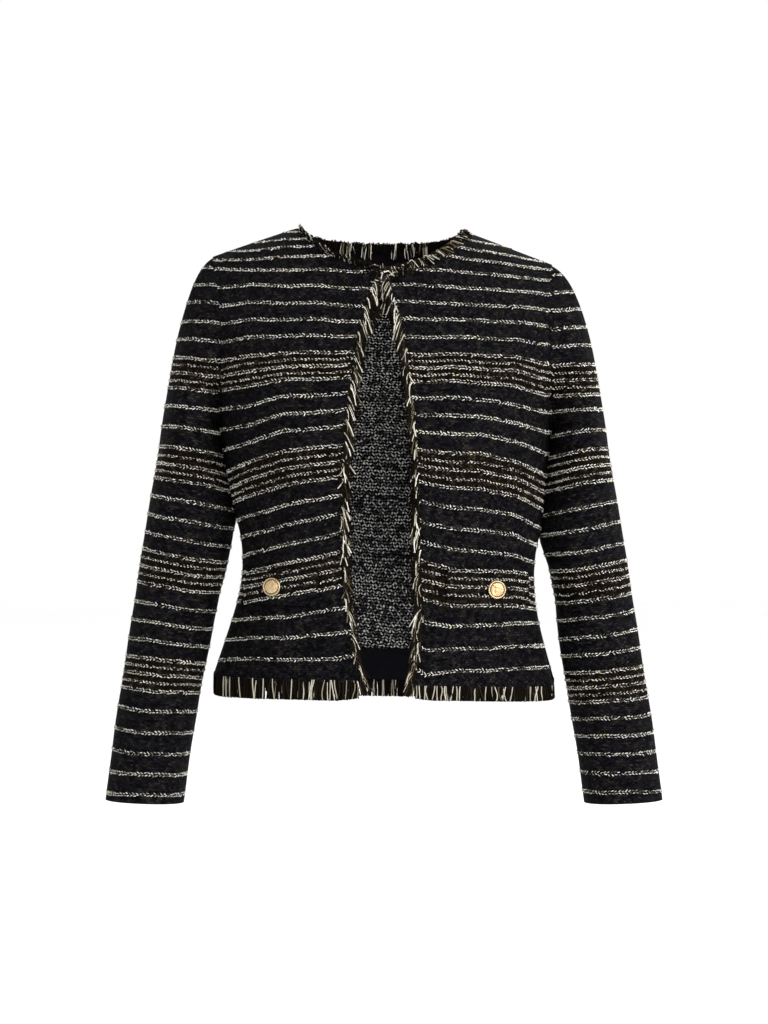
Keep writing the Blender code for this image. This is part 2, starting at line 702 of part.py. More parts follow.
def make_button(name, flap, grids):
    """A turned button whose shank stands on the flap."""
    x = float(flap.side * flap.button_across)
    centre, normal = cloth_at(FRONT, np.array([x]), np.array([flap.button_height]))
    normal = normal[0]
    base = lay_on(grids, centre)[0] + normal * (FLAP_GAP + CLOTH)
    sideways = unit(np.cross(normal, [0.0, 0.0, 1.0]))
    upward = np.cross(normal, sideways)
    turns = np.linspace(0, 2 * math.pi, BUTTON_SIDES, endpoint=False)
    spokes = np.cos(turns)[:, None] * sideways + np.sin(turns)[:, None] * upward
    rings = [base + normal * ring.height + spokes * ring.radius for ring in BUTTON_PROFILE]
    points = np.concatenate(rings)
    faces = [list(range(BUTTON_SIDES)), list(range(len(points) - BUTTON_SIDES, len(points)))]
    for ring in range(len(rings) - 1):
        for k in range(BUTTON_SIDES):
            low, following = ring * BUTTON_SIDES, (k + 1) % BUTTON_SIDES
            faces.append([low + k, low + following, low + BUTTON_SIDES + following, low + BUTTON_SIDES + k])
    make_object(name, points, faces, GOLD)


def make_facing(points, normals):
    """The band inside the back hem, on the lowest rows of the back's own points."""
    skin = (points - normals * (CLOTH + SEAM_GAP))[:, 1:-1]
    normals = normals[:, 1:-1]
    low, knee, high = skin[-1], skin[-2], skin[-3]
    rest = FACING_DEPTH - np.linalg.norm(knee - low, axis=-1, keepdims=True)
    share = rest / np.linalg.norm(high - knee, axis=-1, keepdims=True)
    skin = np.array([knee + (high - knee) * share, knee, low])
    top_normals = unit(normals[-2] * (1 - share) + normals[-3] * share)
    normals = np.array([top_normals, normals[-2], normals[-1]])
    make_wall("hem_facing_back", skin, skin - normals * FACING_CLOTH, FACING)


def make_hook():
    """The hook and eye as one small plate behind both front edges at the neck."""
    middle = (edge_at(LEFT, HOOK_TOP) + edge_at(RIGHT, HOOK_TOP)) / 2
    x = middle + np.linspace(-HOOK_HALF_WIDTH, HOOK_HALF_WIDTH, 7)
    height = HOOK_TOP - np.linspace(0, HOOK_DEPTH, 3)
    points, normals = cloth_at(FRONT, *np.meshgrid(x, height))
    skin = points - normals * (CLOTH + SEAM_GAP * 2)
    make_wall("neck_hook", skin, skin - normals * HOOK_THICKNESS, STEEL)


def stations_along(outer, inner, beyond, first, last):
    """Stations on a panel's edge: each straight stretch holds whole locks, and its corners are kept."""
    lengths = np.linalg.norm(np.diff(outer, axis=0), axis=1)
    total = np.concatenate([[0], np.cumsum(lengths)])
    first, last = first, total[-1] - last
    marks, locked = [first], []
    knots = [first] + [t for t in total if first + SHORTEST_RUN < t < last - SHORTEST_RUN] + [last]
    for low, high in zip(knots, knots[1:]):
        count = max(1, round((high - low) / LOCK_PITCH))
        pitch = (high - low) / count
        for k in range(count):
            middle = low + (k + 0.5) * pitch
            marks += [middle - LOCK_SHARE * pitch / 2, middle + LOCK_SHARE * pitch / 2]
            locked += [False, True]
        marks.append(high)
        locked.append(False)
    read = []
    for values in (outer, inner, beyond):
        read.append(np.stack([np.interp(marks, total, column) for column in values.T], axis=-1))
    return read, locked


def wobble(index, seed):
    """A steady pseudo-random value from -1 to 1."""
    return 2 * (math.sin(index * 12.9898 + seed * 78.233) * 43758.5453 % 1) - 1


def make_fringe(name, stations, locked, strip, locks):
    """A narrow backing strip with locks of yarn from one of its faces, as one closed solid.

    strip gives four corners for each station: two on the far face, then two on the face with the locks.
    locks gives the four corners of each further level of lock i, in the same order round.
    """
    corners = [strip(i) for i in range(len(stations))]
    points = np.concatenate(corners).tolist()
    faces = [[3, 2, 1, 0], [len(points) - 4 + k for k in range(4)]]
    for i, has_lock in enumerate(locked):
        low, high = 4 * i, 4 * i + 4
        for a, b in ((0, 1), (1, 2), (3, 0)):
            faces.append([low + a, low + b, high + b, high + a])
        if not has_lock:
            faces.append([low + 2, low + 3, high + 3, high + 2])
            continue
        root = [low + 2, low + 3, high + 3, high + 2]
        for level in locks(i, np.array([points[k] for k in root])):
            tip = list(range(len(points), len(points) + 4))
            points += np.asarray(level).tolist()
            for k in range(4):
                faces.append([root[k], root[(k + 1) % 4], tip[(k + 1) % 4], tip[k]])
            root = tip
        faces.append(root)
    make_object(name, points, faces, FRINGE)


def straight_lock(root, fall, length, normal, side_way, index, seed):
    """One level: the root's corners carried along and drawn together."""
    centre = root.mean(axis=0)
    aside = side_way * STRAY_ASIDE * wobble(index, seed)
    fall = unit(fall + aside + normal * STRAY_OUT * wobble(index, seed + 1))
    tip = centre + fall * length * (1 + STRAY_LENGTH * wobble(index, seed + 2))
    return [tip + (root - centre) * LOCK_TAPER]


def edge_fringe(name, outer, normals, beyond, fall_at, length, ends, seed):
    """Fringe that carries the cloth on past its edge, as at the hem and the front edges."""
    inner = outer - normals * CLOTH
    (rim, back, away), locked = stations_along(outer, inner, beyond, *ends)
    thick = unit(rim - back)
    middle = (rim + back) / 2
    away = unit(away)
    way = unit(np.gradient(middle, axis=0))

    def strip(i):
        near = middle[i] + away[i] * SEAM_GAP
        far = near + away[i] * STRIP_DEPTH
        half = thick[i] * STRIP_THICKNESS / 2
        return [near + half, near - half, far - half, far + half]

    def locks(i, root):
        fall = fall_at(middle[i], away[i])
        return straight_lock(root, fall, length, thick[i], way[i], i, seed)

    make_fringe(name, middle, locked, strip, locks)


def neck_fringe(name, outer, normals, beyond, outward, droop, ends, seed):
    """Fringe along the neck: the strip lies on the cloth's edge and its locks fall over one side."""
    inner = outer - normals * CLOTH
    (rim, back, away), locked = stations_along(outer, inner, beyond, *ends)
    over = unit(rim - back) * outward
    away = unit(away)
    face = rim if outward > 0 else back
    way = unit(np.gradient(rim, axis=0))

    def strip(i):
        low = face[i] + away[i] * SEAM_GAP - over[i] * CLOTH / 2
        reach = over[i] * (CLOTH / 2 + NECK_OVERHANG)
        up = away[i] * STRIP_THICKNESS
        return [low, low + up, low + up + reach, low + reach]

    def locks(i, root):
        centre = root.mean(axis=0)
        half_way = (root[3] - root[0] + root[2] - root[1]) / 4
        half = STRIP_THICKNESS / 2
        levels = []
        down = unit(droop(over[i], away[i]) + way[i] * NECK_STRAY_ASIDE * wobble(i, seed))
        length = NECK_FRINGE_LENGTH * (1 + NECK_STRAY_LENGTH * wobble(i, seed + 3))
        bend = over[i] * BEND_OVER - away[i] * BEND_DOWN
        tip = over[i] * HANG_OVER + down * length
        across_bend = unit(over[i] + away[i])
        for move, across, scale in ((bend, across_bend, 1.0), (tip, over[i], NECK_TIP_SCALE)):
            place = centre + move
            levels.append([
                place + (across * half - half_way) * scale,
                place + (-across * half - half_way) * scale,
                place + (-across * half + half_way) * scale,
                place + (across * half + half_way) * scale,
            ])
        return levels

    make_fringe(name, rim, locked, strip, locks)


def edge_fall(place, away):
    """Front-edge locks lean towards the opening, and less so near the neck, where it is narrow."""
    room = (edge_at(RIGHT, place[2]) - edge_at(LEFT, place[2])) / 2 - STRIP_DEPTH - LEAN_ROOM
    lean = np.clip(room / EDGE_FRINGE_LENGTH, LEAN_LEAST, LEAN_MOST)
    return away * lean + DOWN * math.sqrt(1 - lean**2)


def hem_fall(place, away):
    return DOWN


def front_neck_droop(over, away):
    return over * FRONT_DROOP - away


def back_neck_droop(over, away):
    return DOWN + over * BACK_DROOP


def make_fringes(fronts, side_fronts, back):
    for side, label in ((LEFT, "left"), (RIGHT, "right")):
        points, normals = fronts[side]
        neck, up = slice(0, NECK_STATIONS), points[0] - points[1]
        line = points[0, neck], normals[0, neck], up[neck]
        neck_fringe(f"fringe_neck_{label}", *line, 1, front_neck_droop, NECK_FRONT_ENDS, 1 + side)
        line = points[:, 0], normals[:, 0], points[:, 0] - points[:, 1]
        edge_fringe(f"fringe_edge_{label}", *line, edge_fall, EDGE_FRINGE_LENGTH, EDGE_ENDS, 5 + side)
        low, low_normals = side_fronts[side]
        hem = np.concatenate([points[-1], low[-1]])
        line = hem, np.concatenate([normals[-1], low_normals[-1]]), np.tile(DOWN, (len(hem), 1))
        edge_fringe(f"fringe_hem_{label}", *line, hem_fall, HEM_FRINGE_LENGTH, HEM_FRONT_ENDS, 9 + side)
    points, normals = back
    shoulder = SHOULDER_STATIONS - 1
    neck, up = slice(shoulder, shoulder + BACK_NECK_STATIONS), points[0] - points[1]
    line = points[0, neck], normals[0, neck], up[neck]
    neck_fringe("fringe_neck_back", *line, -1, back_neck_droop, NECK_BACK_ENDS, 14)
    line = points[-1], normals[-1], np.tile(DOWN, (points.shape[1], 1))
    edge_fringe("fringe_hem_back", *line, hem_fall, HEM_FRINGE_LENGTH, HEM_BACK_ENDS, 17)


def main():
    for existing in list(bpy.data.objects):
        bpy.data.objects.remove(existing)
    fronts, side_fronts = {}, {}
    for side, label in ((LEFT, "left"), (RIGHT, "right")):
        fronts[side] = panel(f"front_{label}", FRONT, front_grid(side))
        side_fronts[side] = panel(f"side_front_{label}", FRONT, side_front_grid(side), midway=True)
        make_sleeve(f"sleeve_{label}", side)
    for flap in FLAPS:
        label = "left" if flap.side == LEFT else "right"
        grids = fronts[flap.side][0], side_fronts[flap.side][0]
        make_flap(f"pocket_flap_{label}", flap, grids)
        make_button(f"button_{label}", flap, grids)
    back = panel("back", BACK, back_grid())
    make_facing(*back)
    make_hook()
    make_fringes(fronts, side_fronts, back)


main()
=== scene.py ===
"""The cropped tweed jacket, dressed: knitted shells, chain-stitched stripes, loose fringe and gold buttons.

Each cloth shell is the CAD panel made smooth and given its creases. Every point of a shell gets a place in
the knit: how far across, and how far down the fabric. The stripes are raised stitches laid along that
fabric's rows. Lengths are in metres, and in mm in the tables. The tables of stripes and of their droop give
places in units of the picture, 1.1 mm each at y = 0. Left and right are as the viewer sees the front.
"""

import math
from collections import namedtuple

import bmesh
import bpy
import numpy as np
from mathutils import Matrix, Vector
from mathutils.bvhtree import BVHTree


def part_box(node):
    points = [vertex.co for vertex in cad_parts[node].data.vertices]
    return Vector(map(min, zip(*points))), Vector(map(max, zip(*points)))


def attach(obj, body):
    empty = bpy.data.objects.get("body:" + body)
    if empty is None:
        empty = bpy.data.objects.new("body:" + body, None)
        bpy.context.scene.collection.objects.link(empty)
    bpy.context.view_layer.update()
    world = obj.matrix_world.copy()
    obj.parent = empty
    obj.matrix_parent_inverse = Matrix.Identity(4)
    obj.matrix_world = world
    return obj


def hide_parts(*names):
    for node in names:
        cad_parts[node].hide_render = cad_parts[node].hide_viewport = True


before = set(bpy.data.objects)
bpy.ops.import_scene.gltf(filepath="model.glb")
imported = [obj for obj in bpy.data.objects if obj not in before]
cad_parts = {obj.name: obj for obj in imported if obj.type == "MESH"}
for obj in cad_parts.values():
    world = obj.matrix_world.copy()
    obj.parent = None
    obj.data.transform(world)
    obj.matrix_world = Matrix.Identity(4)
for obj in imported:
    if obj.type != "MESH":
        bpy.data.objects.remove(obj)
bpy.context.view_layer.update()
MM = 0.001
LEFT, RIGHT = -1, 1
SIDES = {"left": LEFT, "right": RIGHT}
DOWN = np.array([0, 0, -1.0])
FULL_TURN = 2 * math.pi

# Camera: level, square to the front, 3.1 m away. The picture is twice its middle across and down
CAMERA_Y = -3.1
CAMERA_Z = -0.310
UNIT = 0.0011
MIDDLE_ACROSS, MIDDLE_DOWN = 384, 512
SENSOR = 36.0


def rows_of(kind, *rows):
    return tuple(kind(*row) for row in rows)


# Stripes of the body, from the top: rows of stitches, cloth to the next stripe in mm, height on each front
Stripe = namedtuple("Stripe", "rows pitch left right")
BODY = rows_of(
    Stripe,
    (2, 18.6, 225, 226), (2, 18.6, 232, 233), (2, 18.6, 238.5, 242.4), (2, 18.6, 245.5, 250.6),
    (2, 18.6, 256, 260.1), (2, 18.6, 270, 273.6), (2, 18.6, 286, 289), (2, 18.6, 303, 305),
    (2, 18.6, 319, 320), (2, 18.6, 335, 337), (2, 7.6, 352, 355), (1, 7.6, 359, 362),
    (2, 7.6, 365.5, 368.5), (1, 7.6, 372.5, 376.5), (2, 18.6, 378.5, 383), (2, 18.6, 395, 400),
    (2, 18.6, 412, 417), (2, 18.6, 428, 435), (2, 7.6, 447, 454), (1, 7.6, 456, 463), (2, 7.6, 464, 471),
    (1, 7.6, 472, 480.5), (2, 18.6, 479.5, 489), (2, 18.6, 499, 509), (2, 18.6, 518, 530),
    (2, 18.6, 538, 551), (2, 7.6, 557, 571), (1, 7.6, 566, 579), (2, 7.6, 574, 588), (1, 7.6, 583, 597),
    (2, 20.0, 591, 606), (2, 22.0, 612, 626), (2, 24.0, 635, 649), (2, 40.0, 659, 671),
)
SLEEVE = rows_of(
    Stripe,
    (2, 18.6, 247, 253), (2, 18.6, 266, 272), (2, 18.6, 284.5, 291), (2, 18.6, 303, 310),
    (2, 18.6, 323, 329), (2, 18.6, 341, 347), (2, 7.6, 360, 366), (1, 7.6, 367, 374), (2, 7.6, 375, 381),
    (1, 7.6, 383, 388), (2, 18.6, 390, 396), (2, 20.0, 408, 410.5), (2, 20.0, 429.7, 433),
    (2, 8.0, 450, 452), (1, 8.0, 459, 460.5), (2, 8.0, 467.3, 468.5), (1, 8.0, 475, 477.3),
    (2, 20.0, 482.5, 484), (2, 19.0, 501.5, 508.2), (2, 19.0, 521, 529.5), (2, 18.0, 540, 551),
    (2, 8.0, 556.5, 567.5), (1, 8.0, 564.5, 574), (2, 8.0, 572.5, 582.5), (1, 8.0, 580, 591),
    (2, 19.0, 588, 599.5), (2, 19.0, 607, 616.5), (2, 19.0, 624.5, 635.5), (2, 19.0, 643, 653.5),
    (2, 8.0, 660.5, 671), (1, 8.0, 668, 679), (2, 8.0, 675.5, 686.5), (1, 8.0, 683.5, 694),
    (2, 20.0, 691.5, 701), (2, 22.0, 711, 718), (2, 22.0, 732, 735.5), (2, 22.0, 753, 753.5),
    (2, 22.0, 773.5, 772.5), (2, 22.0, 794, 791.5),
)
# Stripes of the flaps, which lie a little flatter than those behind them
FLAP = rows_of(
    Stripe,
    (2, 7.2, 563, 571), (1, 7.2, 569.5, 579), (2, 7.6, 576.5, 587), (1, 8.2, 584, 596), (2, 20.0, 592, 606),
    (2, 20.0, 612, 626),
)

# How far the rows of the fronts droop below their height at the middle, in units, at each height
Droop = namedtuple(
    "Droop", "height side flank inner edge rim right_rim right_edge right_inner right_flank right_side"
)
DROOP = rows_of(
    Droop,
    (240, 7, 4, 1, 0, 0, -5, -4, -7.2, 8.3, 16),
    (250, 6.5, 4.7, 1.8, 0, 0, -5, -4, -5.5, 6.6, 14),
    (260, 4.3, 2.3, 0.2, 0.4, 0.6, -4.8, -3.5, -4.2, 5.2, 12.4),
    (270, -1.5, -0.6, 0.2, 0.8, 1.2, -4.6, -3.2, -3.2, 4, 8.8),
    (283, 1.5, -1.8, 0, 1.3, 2, -4.4, -2.8, -2.6, 2.7, 5.7),
    (300, 3, -1, 0, 2, 3, -4, -2, -2, 2, 5),
    (325, 5.7, 1, 0, 2, 2, -1, 0, -1, 2.2, 6),
    (342, 7.2, 3, 0, 1.5, 1, 0, 1, 0, 2.5, 8),
    (361, 9, 4.5, 1, 1, 0, -1, 0, -1, 1, 9),
    (390, 11.5, 8, 1, 0, -2, -3, -1, -2, 2.5, 12),
    (410, 14, 12, 2, -1, -3, -4, -2, -1.5, 5, 12),
    (430, 17.5, 13.5, 3, -1.5, -3.5, -5.5, -2.5, -1.5, 6, 15),
    (450, 22, 15, 4, -2, -4.5, -7.5, -3.5, -1, 7, 18),
    (470, 26, 15, 4.5, -3, -5.5, -10, -5, -2, 7.5, 21),
    (500, 27.5, 16, 6, -4, -7, -12, -7, -2, 7, 22),
    (525, 28.5, 17, 7, -5, -8, -13, -8, -2, 6, 23),
    (540, 29, 16, 6.5, -4.5, -7.5, -14, -8.5, -2, 5, 21),
    (560, 33, 15, 6, -4, -7, -15, -9, -2, 4, 18),
    (575, 22, 13, 6, -4, -7, -14.5, -7.5, -1, 2.5, 13),
    (590, 13, 11, 6, -4, -7, -14, -6, 0, 1, 14),
    (605, 10.5, 9, 5.5, -3, -5.5, -13.5, -5, 0.5, -1, 11),
    (620, 8, 7, 5, -2, -4, -13, -4, 1, -3, -3),
    (660, 0, 0, 1, -1, -2, -8, 3, 0.5, -2, -4),
)
# Where across each front the columns of that table hold
DROOP_LEFT = (("side", 222), ("flank", 250), ("inner", 285), (None, 320), ("edge", 338), ("rim", 350))
DROOP_RIGHT = (
    ("right_rim", 411), ("right_edge", 424), ("right_inner", 450), (None, 480), ("right_flank", 515),
    ("right_side", 546),
)
# The same for the flaps, from the places across to what the rows droop there
FLAP_DROOP = {
    LEFT: ((238, 12.0), (250, 9.5), (285, 3.0), (320, -3.0)),
    RIGHT: ((446, -0.5), (480, 0.0), (515, 1.0), (530, 3.5)),
}

# Torso girth: the sides' places at each height, in mm
Girth = namedtuple("Girth", "height left right")
GIRTHS = rows_of(
    Girth,
    (0, -201.0, 193.0), (-110, -194.0, 197.0), (-185, -185.5, 190.5), (-222, -177.5, 182.5),
    (-300, -164.5, 173.5), (-370, -155.0, 165.0), (-425, -165.5, 169.5), (-490, -187.0, 187.0),
)
# Sleeve middle line, in mm: across, forward (+Y is back) and mean radius
Arm = namedtuple("Arm", "height across back radius")
ARMS = rows_of(
    Arm,
    (-30, 176.0, 0.0, 60.0), (-100, 182.0, 0.0, 60.0), (-160, 190.0, 0.0, 58.0), (-222, 206.0, 0.0, 56.0),
    (-250, 214.0, 1.0, 54.0), (-332, 216.5, 4.5, 52.0), (-431, 233.0, -1.0, 47.0),
    (-530, 248.5, -13.5, 45.0), (-625, 261.0, -22.0, 42.0),
)

# How far the rows of each sleeve fall towards the body, at each height
Slope = namedtuple("Slope", "height left right")
SLOPES = rows_of(
    Slope,
    (300, 0.13, 0.13), (370, 0.08, 0.08), (410, 0.065, 0.065), (430, 0.11, 0.11), (455, 0.15, 0.155),
    (490, 0.195, 0.185), (520, 0.19, 0.19), (545, 0.19, 0.145), (580, 0.14, 0.14), (640, 0.13, 0.13),
    (800, 0.0, 0.0),
)
# Below the armholes the sleeves lie against the body: how far, in mm, each comes to the other
Snug = namedtuple("Snug", "height body_left body_right sleeve_left sleeve_right")
SNUG = rows_of(
    Snug,
    (-170, 0.0, 0.0, 0.0, 0.0), (-200, 1.4, 0.0, -0.6, 0.0), (-222, 2.6, 0.8, 1.4, 2.0),
    (-245, 2.8, 1.8, 2.8, 4.8), (-268, 2.4, 1.4, 3.8, 5.0), (-300, 2.2, 1.6, 5.0, 5.2),
    (-320, 1.6, 3.4, 5.0, 5.2), (-333, 0.3, 2.8, 1.6, 6.4), (-342, 0.0, 2.0, 0.4, 6.6),
    (-354, 0.0, 0.6, 0.0, 2.8), (-372, 0.0, 0.0, 0.0, 0.0),
)

# Creases, in mm: place, lean in degrees, half-length, half-width, depth (below 0 a trough) and bend
Crease = namedtuple("Crease", "part x height lean length width depth bend")
CREASES = rows_of(
    Crease,
    ("front", -168, -205, 52, 26, 5, -2.2, 0.004), ("front", -158, -228, 66, 30, 6, 1.6, -0.003),
    ("front", 170, -212, -50, 27, 6, -2.3, -0.004), ("front", 156, -236, -64, 30, 6, 1.7, 0.002),
    ("front", -132, -318, 62, 36, 7, -2.0, 0.003), ("front", -120, -338, 74, 40, 8, 1.5, -0.002),
    ("front", -134, -362, 84, 32, 7, -1.8, 0.002), ("front", 138, -328, -60, 34, 7, -2.0, -0.003),
    ("front", 124, -350, -76, 38, 8, 1.5, 0.002), ("front", 140, -372, -86, 30, 7, -1.7, 0.0),
    ("front", -62, -120, 18, 50, 11, -1.3, 0.002), ("front", 70, -132, -22, 46, 10, -1.3, -0.002),
    ("front", -58, -430, -6, 34, 8, 1.4, 0.003), ("front", -84, -458, 6, 26, 9, -1.5, 0.0),
    ("front", 60, -436, 8, 34, 9, 1.5, -0.003), ("front", 96, -462, -4, 24, 9, -1.5, 0.0),
    ("back", -138, -226, 50, 30, 7, -2.2, 0.003), ("back", -130, -250, 60, 36, 8, 1.7, -0.002),
    ("back", 140, -232, -50, 30, 8, -2.2, -0.003), ("back", 134, -246, -60, 40, 8, 1.6, 0.002),
    ("back", -70, -312, 76, 46, 8, -2.0, 0.001), ("back", -52, -334, 82, 54, 9, 1.6, -0.001),
    ("back", -84, -358, 88, 44, 8, -1.9, 0.001), ("back", 82, -324, -74, 44, 8, -2.0, -0.001),
    ("back", 60, -348, -84, 50, 9, 1.5, 0.001), ("back", 96, -372, -88, 38, 8, -1.7, 0.0),
    ("back", -44, -440, 5, 34, 11, 1.8, 0.002), ("back", 12, -452, -3, 36, 12, -1.5, 0.0),
    ("back", 74, -444, -7, 34, 11, 1.8, -0.002), ("back", -30, -92, 70, 50, 10, -1.2, 0.001),
)
# Creases of the sleeves: turn is 0 on the outside, a quarter at the front
Elbow = namedtuple("Elbow", "side turn height lean length width depth")
ELBOWS = rows_of(
    Elbow,
    (LEFT, 0.26, -196, 0.75, 34, 7, -2.0), (LEFT, 0.40, -262, 0.55, 40, 8, -2.2),
    (LEFT, 0.34, -284, 0.50, 42, 8, 1.5), (LEFT, 0.36, -352, 0.45, 40, 7, -2.4),
    (LEFT, 0.30, -374, 0.40, 42, 8, 1.8), (LEFT, 0.33, -412, 0.42, 38, 7, -2.2),
    (LEFT, 0.24, -446, -0.30, 34, 8, -1.6), (LEFT, 0.30, -520, 0.35, 34, 8, -1.6),
    (LEFT, 0.20, -590, -0.25, 32, 9, -1.3), (LEFT, 0.68, -340, -0.30, 44, 8, -2.2),
    (LEFT, 0.66, -384, 0.30, 42, 8, -2.0), (LEFT, 0.80, -430, -0.25, 38, 9, 1.6),
    (LEFT, 0.74, -540, 0.25, 36, 9, -1.5), (RIGHT, 0.24, -204, 0.70, 34, 7, -2.0),
    (RIGHT, 0.40, -272, 0.55, 40, 8, -2.2), (RIGHT, 0.33, -296, 0.50, 42, 8, 1.5),
    (RIGHT, 0.36, -366, 0.45, 40, 7, -2.3), (RIGHT, 0.30, -388, 0.42, 42, 8, 1.8),
    (RIGHT, 0.34, -424, 0.40, 36, 7, -2.2), (RIGHT, 0.22, -470, -0.30, 34, 8, -1.6),
    (RIGHT, 0.31, -540, 0.32, 34, 8, -1.6), (RIGHT, 0.20, -600, -0.25, 32, 9, -1.3),
    (RIGHT, 0.68, -352, -0.28, 44, 8, -2.2), (RIGHT, 0.66, -396, 0.30, 42, 8, -2.0),
    (RIGHT, 0.80, -444, -0.25, 38, 9, 1.6), (RIGHT, 0.74, -552, 0.25, 36, 9, -1.5),
)

# Thickness of the knit and of the facing of the back hem
WALL, FACING = 1.8 * MM, 0.9 * MM

# The torso as an ellipse, and how far its back and its front are from the middle
HALF_WIDTH, HALF_DEPTH = 0.172, 0.108
BACK_DEPTH, FRONT_DEPTH = 0.115, 0.118
# Distance round the body: the share of the depth that counts, and how far out it counts in full
TURN_SHARE, TURN_START = 0.9, 0.05
# The sleeves hang before the body, so their units are a little smaller. Their girth is in mm
ARM_UNIT = UNIT * 0.984
ARM_GIRTH = 320

# The back: how its rows swing between the side seams, in units, and over what distances
SWING, SWING_HALF = 3.0, 75 * MM
BLEND_HALF, SEAM_HALF = 150 * MM, 172 * MM

# Unevenness of the cloth between the creases, in mm, and the share of the half width over which creases
# fade out at the side seams
TORSO_UNEVEN, ARM_UNEVEN = 0.35, 0.4
SEAM_FADE = 0.10
# Where the sleeves lie against the body: turn and spread on the sleeve, and shares of the body's half width
SNUG_TURN, SNUG_SPREAD, SNUG_FROM, SNUG_RUN = 0.54, 0.11, 0.80, 0.20

# The hems of the fronts sag a little, more on the right, and the fringe is cut level below them
SAG = {LEFT: 2.4 * MM, RIGHT: 6.6 * MM}
SAG_START, SAG_RUN = -435 * MM, 35 * MM
FRINGE_LENGTH = {LEFT: 19.6 * MM, RIGHT: 13.4 * MM}
BACK_FRINGE_LENGTH = 19.0 * MM
# Towards the opening the fringe of the fronts is cut a little shorter
CORNER_CUT, CORNER, OPENING_HALF = 3.0 * MM, 24 * MM, 28 * MM
# Seam allowance of the sleeves, which lies inside the body at the armholes and keeps light out of the seam
ALLOWANCE = 6.0 * MM

# Stripes with one row are in groups, where the ground is brown: how far that reaches and fades, in mm
GROUP_REACH, GROUP_FADE, FLAP_GROUP = 9.5, 3.0, 0.6

# Stitches of the stripes, in mm: in the usual stripes with two rows, and in the thin ones of a group
Stitch = namedtuple("Stitch", "offset length width missing")
USUAL = Stitch(1.2, 4.4, 1.1, 0.015)
THIN = Stitch(0.75, 3.3, 1.05, 0.10)
STITCH_PITCH = 3.8
STITCH_HEIGHT = 1.0
STITCH_SUNK = 0.1
SLANT, SLANT_SPREAD = math.radians(22), 0.32


def unit(vectors):
    return vectors / np.maximum(np.linalg.norm(vectors, axis=-1, keepdims=True), 1e-12)


def table(rows, column, height):
    """The named column of a table at heights in metres."""
    rows = sorted(rows, key=lambda row: row.height)
    known = [row.height * MM for row in rows]
    return np.interp(height, known, [getattr(row, column) * MM for row in rows])


def carried(value, known, given):
    """Linear interpolation that carries on past both ends."""
    known, given = np.asarray(known, float), np.asarray(given, float)
    before = np.minimum(value - known[0], 0) * (given[1] - given[0]) / (known[1] - known[0])
    after = np.maximum(value - known[-1], 0) * (given[-1] - given[-2]) / (known[-1] - known[-2])
    return np.interp(value, known, given) + before + after


def seen(points):
    """Place in the picture: units across and down."""
    scale = UNIT * (points[:, 1] - CAMERA_Y) / -CAMERA_Y
    return MIDDLE_ACROSS + points[:, 0] / scale, MIDDLE_DOWN - (points[:, 2] - CAMERA_Z) / scale


def side_name(side):
    return "left" if side == LEFT else "right"


def cloth_rows(stripes):
    """The stripes' places down the fabric, in metres."""
    pitches = [stripe.pitch * MM for stripe in stripes]
    return np.concatenate([[0], np.cumsum(pitches[:-1])])


def down_cloth(height, stripes, side):
    return carried(height, [getattr(stripe, side_name(side)) for stripe in stripes], cloth_rows(stripes))


def droop(across, down, columns):
    rows = [row.height for row in DROOP]
    found = []
    for name, _ in columns:
        values = [getattr(row, name) if name else 0.0 for row in DROOP]
        found.append(np.interp(down, rows, values))
    found, places = np.array(found), [place for _, place in columns]
    across = np.clip(across, places[0], places[-1])
    low = np.clip(np.searchsorted(places, across) - 1, 0, len(places) - 2)
    start, end = np.take(places, low), np.take(places, low + 1)
    share = (across - start) / (end - start)
    index = np.arange(len(across))
    return found[low, index] * (1 - share) + found[low + 1, index] * share


def ripple(points, size):
    """A slight unevenness of the rows, which no cloth hangs without."""
    x, y, z = points.T / MM
    return size * (
        np.sin(x / 17 + z / 41 + 1.3) + 0.7 * np.sin(x / 9.3 - z / 27) + 0.8 * np.sin(z / 33 + y / 19 + 0.6)
    )


def girth_at(points):
    """The torso's middle and half width at the height of each point."""
    low, high = table(GIRTHS, "left", points[:, 2]), table(GIRTHS, "right", points[:, 2])
    return (low + high) / 2, (high - low) / 2


def across_torso(points, kind):
    """Distance round the body, near enough for the knit: out from the middle, then along the side."""
    aside = points[:, 0] - girth_at(points)[0]
    turned = BACK_DEPTH - points[:, 1] if kind == "back" else points[:, 1] + FRONT_DEPTH
    return aside + np.sign(aside) * TURN_SHARE * turned * np.clip(np.abs(aside) / TURN_START, 0, 1)


def front_knit(points, side):
    across, down = seen(points)
    columns = DROOP_LEFT if side == LEFT else DROOP_RIGHT
    down = down - droop(across, down, columns) + ripple(points, 0.35)
    return np.stack([across_torso(points, "front"), down_cloth(down, BODY, side)], axis=-1)


def flap_knit(points, side):
    across, down = seen(points)
    columns = FLAP_DROOP[side]
    sag = np.interp(across, [place for place, _ in columns], [sag for _, sag in columns])
    down = down - sag + ripple(points, 0.25)
    return np.stack([across_torso(points, "front"), down_cloth(down, FLAP, side)], axis=-1)


